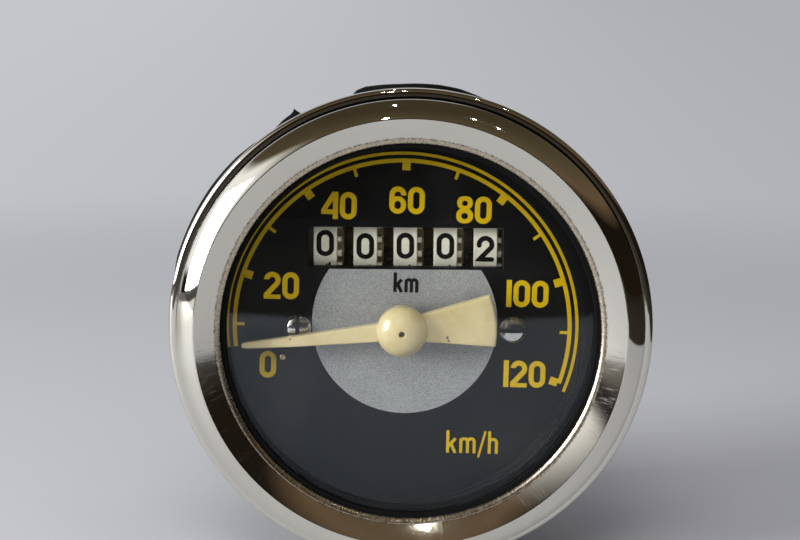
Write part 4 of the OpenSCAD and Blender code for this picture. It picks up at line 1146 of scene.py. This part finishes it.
def silver_disc():
    """Flake-painted disc round the pointer, cut off below the window."""
    x, y, r = HUB_X + 0.45, HUB_Y + 0.75, 16.1
    top = HUB_Y + 10.1
    a = math.degrees(math.asin((top - y) / r))
    edge = bend(x, y, r, r, 180 - a, 360 + a, 120)
    hole = bend(HUB_X, HUB_Y, HUB_HOLE_R, HUB_HOLE_R, 0, 345, 23)
    return Shape().slab([edge, hole], DIAL_Z - 0.01, DIAL_Z + 0.03).make("silver_disc", SILVER)


def dial_print():
    prints = dial_scale() + [dial_numbers(), silver_disc()] + unit_words()
    fit(joined("dial_print", prints), "housing", "dial_black")


def dial_screws():
    """Two domed screws, one slot upright and one level."""
    head_r, head_h, edge_h, shank_r, shank_l = 2.4, 1.5, 0.375, 0.9, 5
    head = [(0, 0), (head_r, 0)] + bend(0, edge_h, head_r, head_h - edge_h, 0, 90, 18)
    shank = [(0, -shank_l), (shank_r - 0.15, -shank_l), (shank_r, 0.2 - shank_l), (shank_r, 0.1), (0, 0.1)]
    piece = Shape().turn(head, steps=72).turn(shank, steps=32).make("dial_screws_chrome", SCREW_CHROME)
    half, floor, reach = 0.36, head_h - 0.75, 3
    slot = [(-reach, -half), (reach, -half), (reach, half), (-reach, half)]
    cutter = Shape().slab([slot], floor, head_h + 1).make("slot", SCREW_CHROME)
    cut = piece.modifiers.new("slot", "BOOLEAN")
    cut.object, cut.operation, cut.solver = cutter, "DIFFERENCE", "EXACT"
    settle(piece)
    bpy.data.objects.remove(cutter)
    x, y = HUB_X + SCREWS[1][0], HUB_Y + SCREWS[1][1]
    step = SCREWS[0][0] - SCREWS[1][0]
    ROW.run(piece, SCREW_CHROME, Count=2, Start=gauge(x, y, DIAL_Z), Step=gauge(step, 0, 0), Turn=math.pi / 2)
    piece.data.set_sharp_from_angle(angle=math.radians(32))
    fit(piece, "housing", "zinc_steel", "dial_screws")


def stop_pin():
    """Small hollow-ended pin below the blade."""
    z0, z1, r, soft, hole_r, hole_z = rear("zero_stop_pin"), front("zero_stop_pin"), 0.5, 0.14, 0.2, 0.9
    profile = [(0, z0), (r, z0)] + bend(r - soft, z1 - soft, soft, soft, 0, 180, 10)
    profile += [(hole_r, z1 - hole_z), (0, z1 - hole_z - 0.1)]
    lathe("zero_stop_pin", "_brass", PIN_BRASS, "brass", profile, HUB_X + PIN[0], HUB_Y + PIN[1], 32)


# Pointer


def pointer():
    """Enamelled pointer: tapered blade, domed hub and fan-shaped tail."""
    place = turned_by(POINTER_REST, HUB_X, HUB_Y)
    shape = Shape()
    length, root, tip, thick, soft, level_to, slope = 27.9, 1.75, 0.5, 2.0, 0.3, 19, 0.125
    rows = []
    for along, share, rise in ((0, 1, 0), (6, 1, 0), (12, 1, 0), (17, 1, 0), (19, 1, 0), (20, 1, 0), (23, 1, 0),
                               (25.5, 1, 0), (27.1, 1, 0), (27.6, 0.9, 0), (length, 0.6, 0.12)):
        half = share * (root + (tip - root) * along / length)
        top = BLADE_Z + thick - max(0, along - level_to) * slope
        low = BLADE_Z + rise
        section = [(-half, low), (half, low), (half, top - soft)]
        section += bend(half - soft, top - soft, soft, soft, 20, 90, 4)
        section += bend(-half + soft, top - soft, soft, soft, 90, 160, 4) + [(-half, top - soft)]
        rows.append([place(along, across) + (z,) for across, z in section])
    shape.loft(rows)
    hub_r, hub_z, side_z, top_z, eye_r = 4.4, BLADE_Z - 0.6, BLADE_Z + 2.6, DIAL_Z + 7.6, 0.5
    rows = []
    tail, narrow, wide = 16.4, 2.4, 4.55
    for reach, drop, low in ((2.6, 0, 0), (6, 0, 0), (10, 0, 0), (14, 0, 0), (15.95, 0, 0), (16.2, 0.08, 0),
                             (16.35, 0.25, 0), (16.4, 0.5, 0.1)):
        half = narrow + (wide - narrow) * (reach - hub_r) / (tail - hub_r)
        open_a = math.asin(half / reach)
        top = BLADE_Z + thick - drop
        angles = [open_a * (i / 8 - 1) for i in range(17)]
        edge = soft / reach
        section = [(a, BLADE_Z + low) for a in angles]
        section += [(open_a, top - soft), (open_a - 0.3 * edge, top - 0.1), (open_a - edge, top)]
        section += [(a, top) for a in angles[15:1:-1]]
        section += [(edge - open_a, top), (0.3 * edge - open_a, top - 0.1), (-open_a, top - soft)]
        rows.append([place(-reach * math.cos(a), reach * math.sin(a)) + (z,) for a, z in section])
    shape.loft(rows)
    profile = [(eye_r, hub_z), (hub_r - 0.5, hub_z), (hub_r - 0.12, hub_z + 0.2), (hub_r, hub_z + 0.6)]
    profile += bend(0, side_z, hub_r, top_z - side_z, 0, 82, 26)
    profile += [(eye_r + 0.08, top_z - 0.04), (eye_r, top_z - 0.16)]
    shape.turn(profile, HUB_X, HUB_Y, 96)
    piece = shape.make("pointer_enamelled", CREAM, 40)
    fit(piece, "needle", "cream_plastic", "pointer")


# Odometer drums


def number_drum(node, body, left, shown, lift):
    """Drum with its toothed ring and its ten numbers; lift is how far it stands off its resting number."""
    r, band, bore, hub_r, ring_w, soft = 9.6, 4.1, 1.25, 2.4, 1.1, 0.12
    inner_r, web_x, root_r, tip_r, hub_end = 8.6, 2.9, 7.2, 8.55, width(node)
    profile = [(bore, 0), (hub_r, 0), (hub_r, web_x), (inner_r, web_x), (inner_r, 0), (r - soft, 0), (r, soft)]
    profile += [(r, band - soft), (r - soft, band), (root_r, band), (root_r, band + ring_w)]
    profile += [(hub_r, band + ring_w), (hub_r, hub_end), (bore, hub_end)]
    shell = [(reach, left + x) for reach, x in profile]
    drum = Shape().roll(shell, DRUM_Y, DRUM_Z, 144).make(node + "_body", DRUM_IVORY)
    tooth_w, teeth_count, first = 0.85, 20, -4
    x0, x1 = left + band - 0.05, left + band + tooth_w
    rows = []
    for reach, half, taper in ((root_r - 0.1, 0.62, 0), (8.0, 0.53, 0), (8.35, 0.46, 0.05), (tip_r, 0.3, 0.16)):
        a, b, z = x0 + taper, x1 - taper, DRUM_Z + reach
        rows.append([(x, DRUM_Y + y, z) for x, y in ((a, -half), (b, -half), (b, half), (a, half))])
    teeth = Shape().loft(rows).make(node + "_teeth", DRUM_IVORY)
    RING.run(teeth, DRUM_IVORY, Count=teeth_count, First_angle=math.radians(first),
             Step_angle=2 * math.pi / teeth_count, Centre=gauge(0, DRUM_Y, DRUM_Z), Axis=(1.0, 0.0, 0.0))
    numbers = Shape()
    figure_w, figure_h, stroke = 2.2, 3.8, 0.86
    for digit, strokes in enumerate(DRUM_DIGITS):
        a0 = math.radians(36) * (shown - digit) + lift / r

        def lay(across, up, thick):
            a, reach = a0 + up / r, r + thick
            return left + band / 2 + across, DRUM_Y + reach * math.sin(a), DRUM_Z + reach * math.cos(a)

        write(numbers, strokes(figure_w, figure_h), 0, stroke / 2, lay, 0.015, round_ends=True)
    piece = joined(node + "_numbered", [drum, teeth, numbers.make(node + "_numbers", BLACK_INK)])
    fit(piece, body, "white_plastic", node)


def odometer():
    for node, body, shown, lift in (
            ("drum_ten_thousands", "ten_thousands", 0, 0.05), ("drum_thousands", "thousands", 0, -0.45),
            ("drum_hundreds", "hundreds", 0, -0.32), ("drum_tens", "tens", 0, -0.32),
            ("drum_units", "units", 2, -0.75)):
        number_drum(node, body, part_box(node)[0].x / MM, shown, lift)


for build in (bezel_ring, glass_lens, lens_seal, spacer_ring, panel_gasket, case_shell, drive_boss, boss_nut,
              boss_washer, mounting_studs, dial_plate, dial_print, dial_screws, stop_pin, pointer, odometer):
    build()


# Studio


def backdrop():
    """Pale table, whose colour as mirrors see it carries painted shade; beyond its edge lies a glowing pale
    ground, darker to the right as painted shade.
    """
    floor_z = cad_box[0][2] / MM - 0.2
    finish = Finish("pale_table", Roughness=0.7, Specular_IOR_Level=0.2)
    across, depth, _ = finish.parts(finish.place())
    direct, mirrored = finish.rays()
    # Painted shade in what mirrors see: the table darkens towards the left, and turns dark brown more than 0.3 m
    # in front and 0.2 m to the right, as painted shadow.
    table = finish.mix(across.above(-0.12, -0.3) * 0.6, srgb(192, 193, 194), srgb(122, 116, 104))
    lit = depth.above(-0.32, -0.3) * across.above(0.212, 0.2)
    reflected = finish.mix(lit, srgb(52, 46, 38), table)
    pale = finish.mix(finish.noise(6, 4.0), srgb(198, 199, 203), srgb(192, 193, 197))
    finish.feed(Base_Color=finish.mix(mirrored, pale, reflected))
    # Painted shade: the glowing ground darkens from left to right.
    ground = finish.mix(across.above(-0.3, 0.3), srgb(197, 198, 202), srgb(174, 175, 180))
    even = finish.node("ShaderNodeEmission", inputs={"Color": finish.mix(mirrored, ground, reflected)})
    reach = (across * across + depth * depth).root()
    far = direct * reach.above(0.2, 0.45) + mirrored * depth.above(0.1, 0.3)
    finish.show(finish.blend(far, finish.shader, even))
    near, far_end, half = -3000, 5000, 3000
    mesh = bmesh.new()
    mesh.faces.new([mesh.verts.new(Vector((x, y, floor_z)) * MM) for x, y in (
        (-half, near), (half, near), (half, far_end), (-half, far_end))])
    data = bpy.data.meshes.new("backdrop")
    mesh.to_mesh(data)
    mesh.free()
    data.materials.append(finish.material)
    piece = placed("backdrop", data)


def lamp(name, place, size, power, colour=(1, 1, 1), mirrored=True):
    """Flat lamp turned to the gauge; sizes and places are in metres."""
    target = Vector((0, -0.05, 0))
    data = bpy.data.lights.new(name, "AREA")
    data.shape = "RECTANGLE"
    data.size, data.size_y = size
    data.energy, data.color = power, colour
    piece = placed(name, data)
    piece.location = place
    piece.rotation_euler = (target - Vector(place)).to_track_quat("-Z", "Y").to_euler()
    piece.visible_glossy = mirrored


def room():
    """Soft light all round and a window at the left; mirrors see a dim brown room above a pale table."""
    world = bpy.data.worlds.new("room")
    bpy.context.scene.world = world
    world.use_nodes = True
    bench = Shading(world.node_tree)
    way = bench.node("ShaderNodeTexCoord", output=0)
    x, y, up = bench.parts(way)
    left = x.above(-0.35, -0.75)
    browns = ((0.0, srgb(32, 25, 18)), (0.3, srgb(28, 22, 16)), (0.45, srgb(106, 87, 66)), (0.6, srgb(90, 79, 59)),
              (0.9, srgb(68, 59, 44)))
    dim = bench.node("ShaderNodeValToRGB", {"stops": browns}, {0: up})
    sides = bench.mix(left * up.above(0.05, 0.12) * up.above(0.66, 0.56), dim, (1.1, 1.08, 1.04, 1))
    pale = srgb(192, 192, 196)
    wall = bench.mix(y.above(0.1, 0.2) * x.above(0.35, 0.15), sides, pale)
    direct, mirrored = bench.rays()
    seen = bench.mix(mirrored, bench.mix(direct, (0.36, 0.36, 0.38, 1), pale), wall)
    light = bench.node("ShaderNodeBackground", inputs={"Color": seen, "Strength": 1.0})
    bench.node("ShaderNodeOutputWorld", inputs={"Surface": light})
    lamp("window", (-0.75, -0.36, 0.22), (0.5, 0.45), 10.5)
    lamp("key", (-0.1, -0.75, 0.75), (0.5, 0.4), 3.0, mirrored=False)
    for place in ((-0.13, -0.9, 0.84), (-0.03, -0.9, 0.72), (-0.063, -0.9, 0.55), (-0.1, -0.3, 1.1),
                  (0.34, -0.6, 1.0), (0.46, -0.6, 0.9)):
        lamp("ceiling_lamp", place, (0.016, 0.016), 0.12, (1.0, 0.95, 0.85))


def camera():
    """Long lens a little above the dial's axis, aimed so that the rim sits low in the frame."""
    picture_w, picture_h, rim_px, rim_py, focal_px = 800, 540, 410.5, 333.0, 2467.0
    distance, lift, roll, aim_z = 0.42, math.radians(11.1), math.radians(0.5), 58.2
    target = gauge(0, 0, aim_z)
    place = target + distance * Vector((0, -math.cos(lift), math.sin(lift)))
    look = (target - place).to_track_quat("-Z", "Y")
    aim = Vector(((rim_px - picture_w / 2) / focal_px, (picture_h / 2 - rim_py) / focal_px, -1)).normalized()
    shift = aim.rotation_difference(Vector((0, 0, -1)))
    data = bpy.data.cameras.new("camera")
    data.sensor_fit, data.lens = "HORIZONTAL", focal_px / picture_w * data.sensor_width
    data.clip_start, data.clip_end = 0.01, 20
    piece = placed("camera", data)
    piece.rotation_mode = "QUATERNION"
    piece.location = place
    piece.rotation_quaternion = look @ Quaternion((0, 0, 1), roll) @ shift
    bpy.context.scene.camera = piece


backdrop()
room()
camera()
bpy.context.scene.view_settings.view_transform = "Standard"
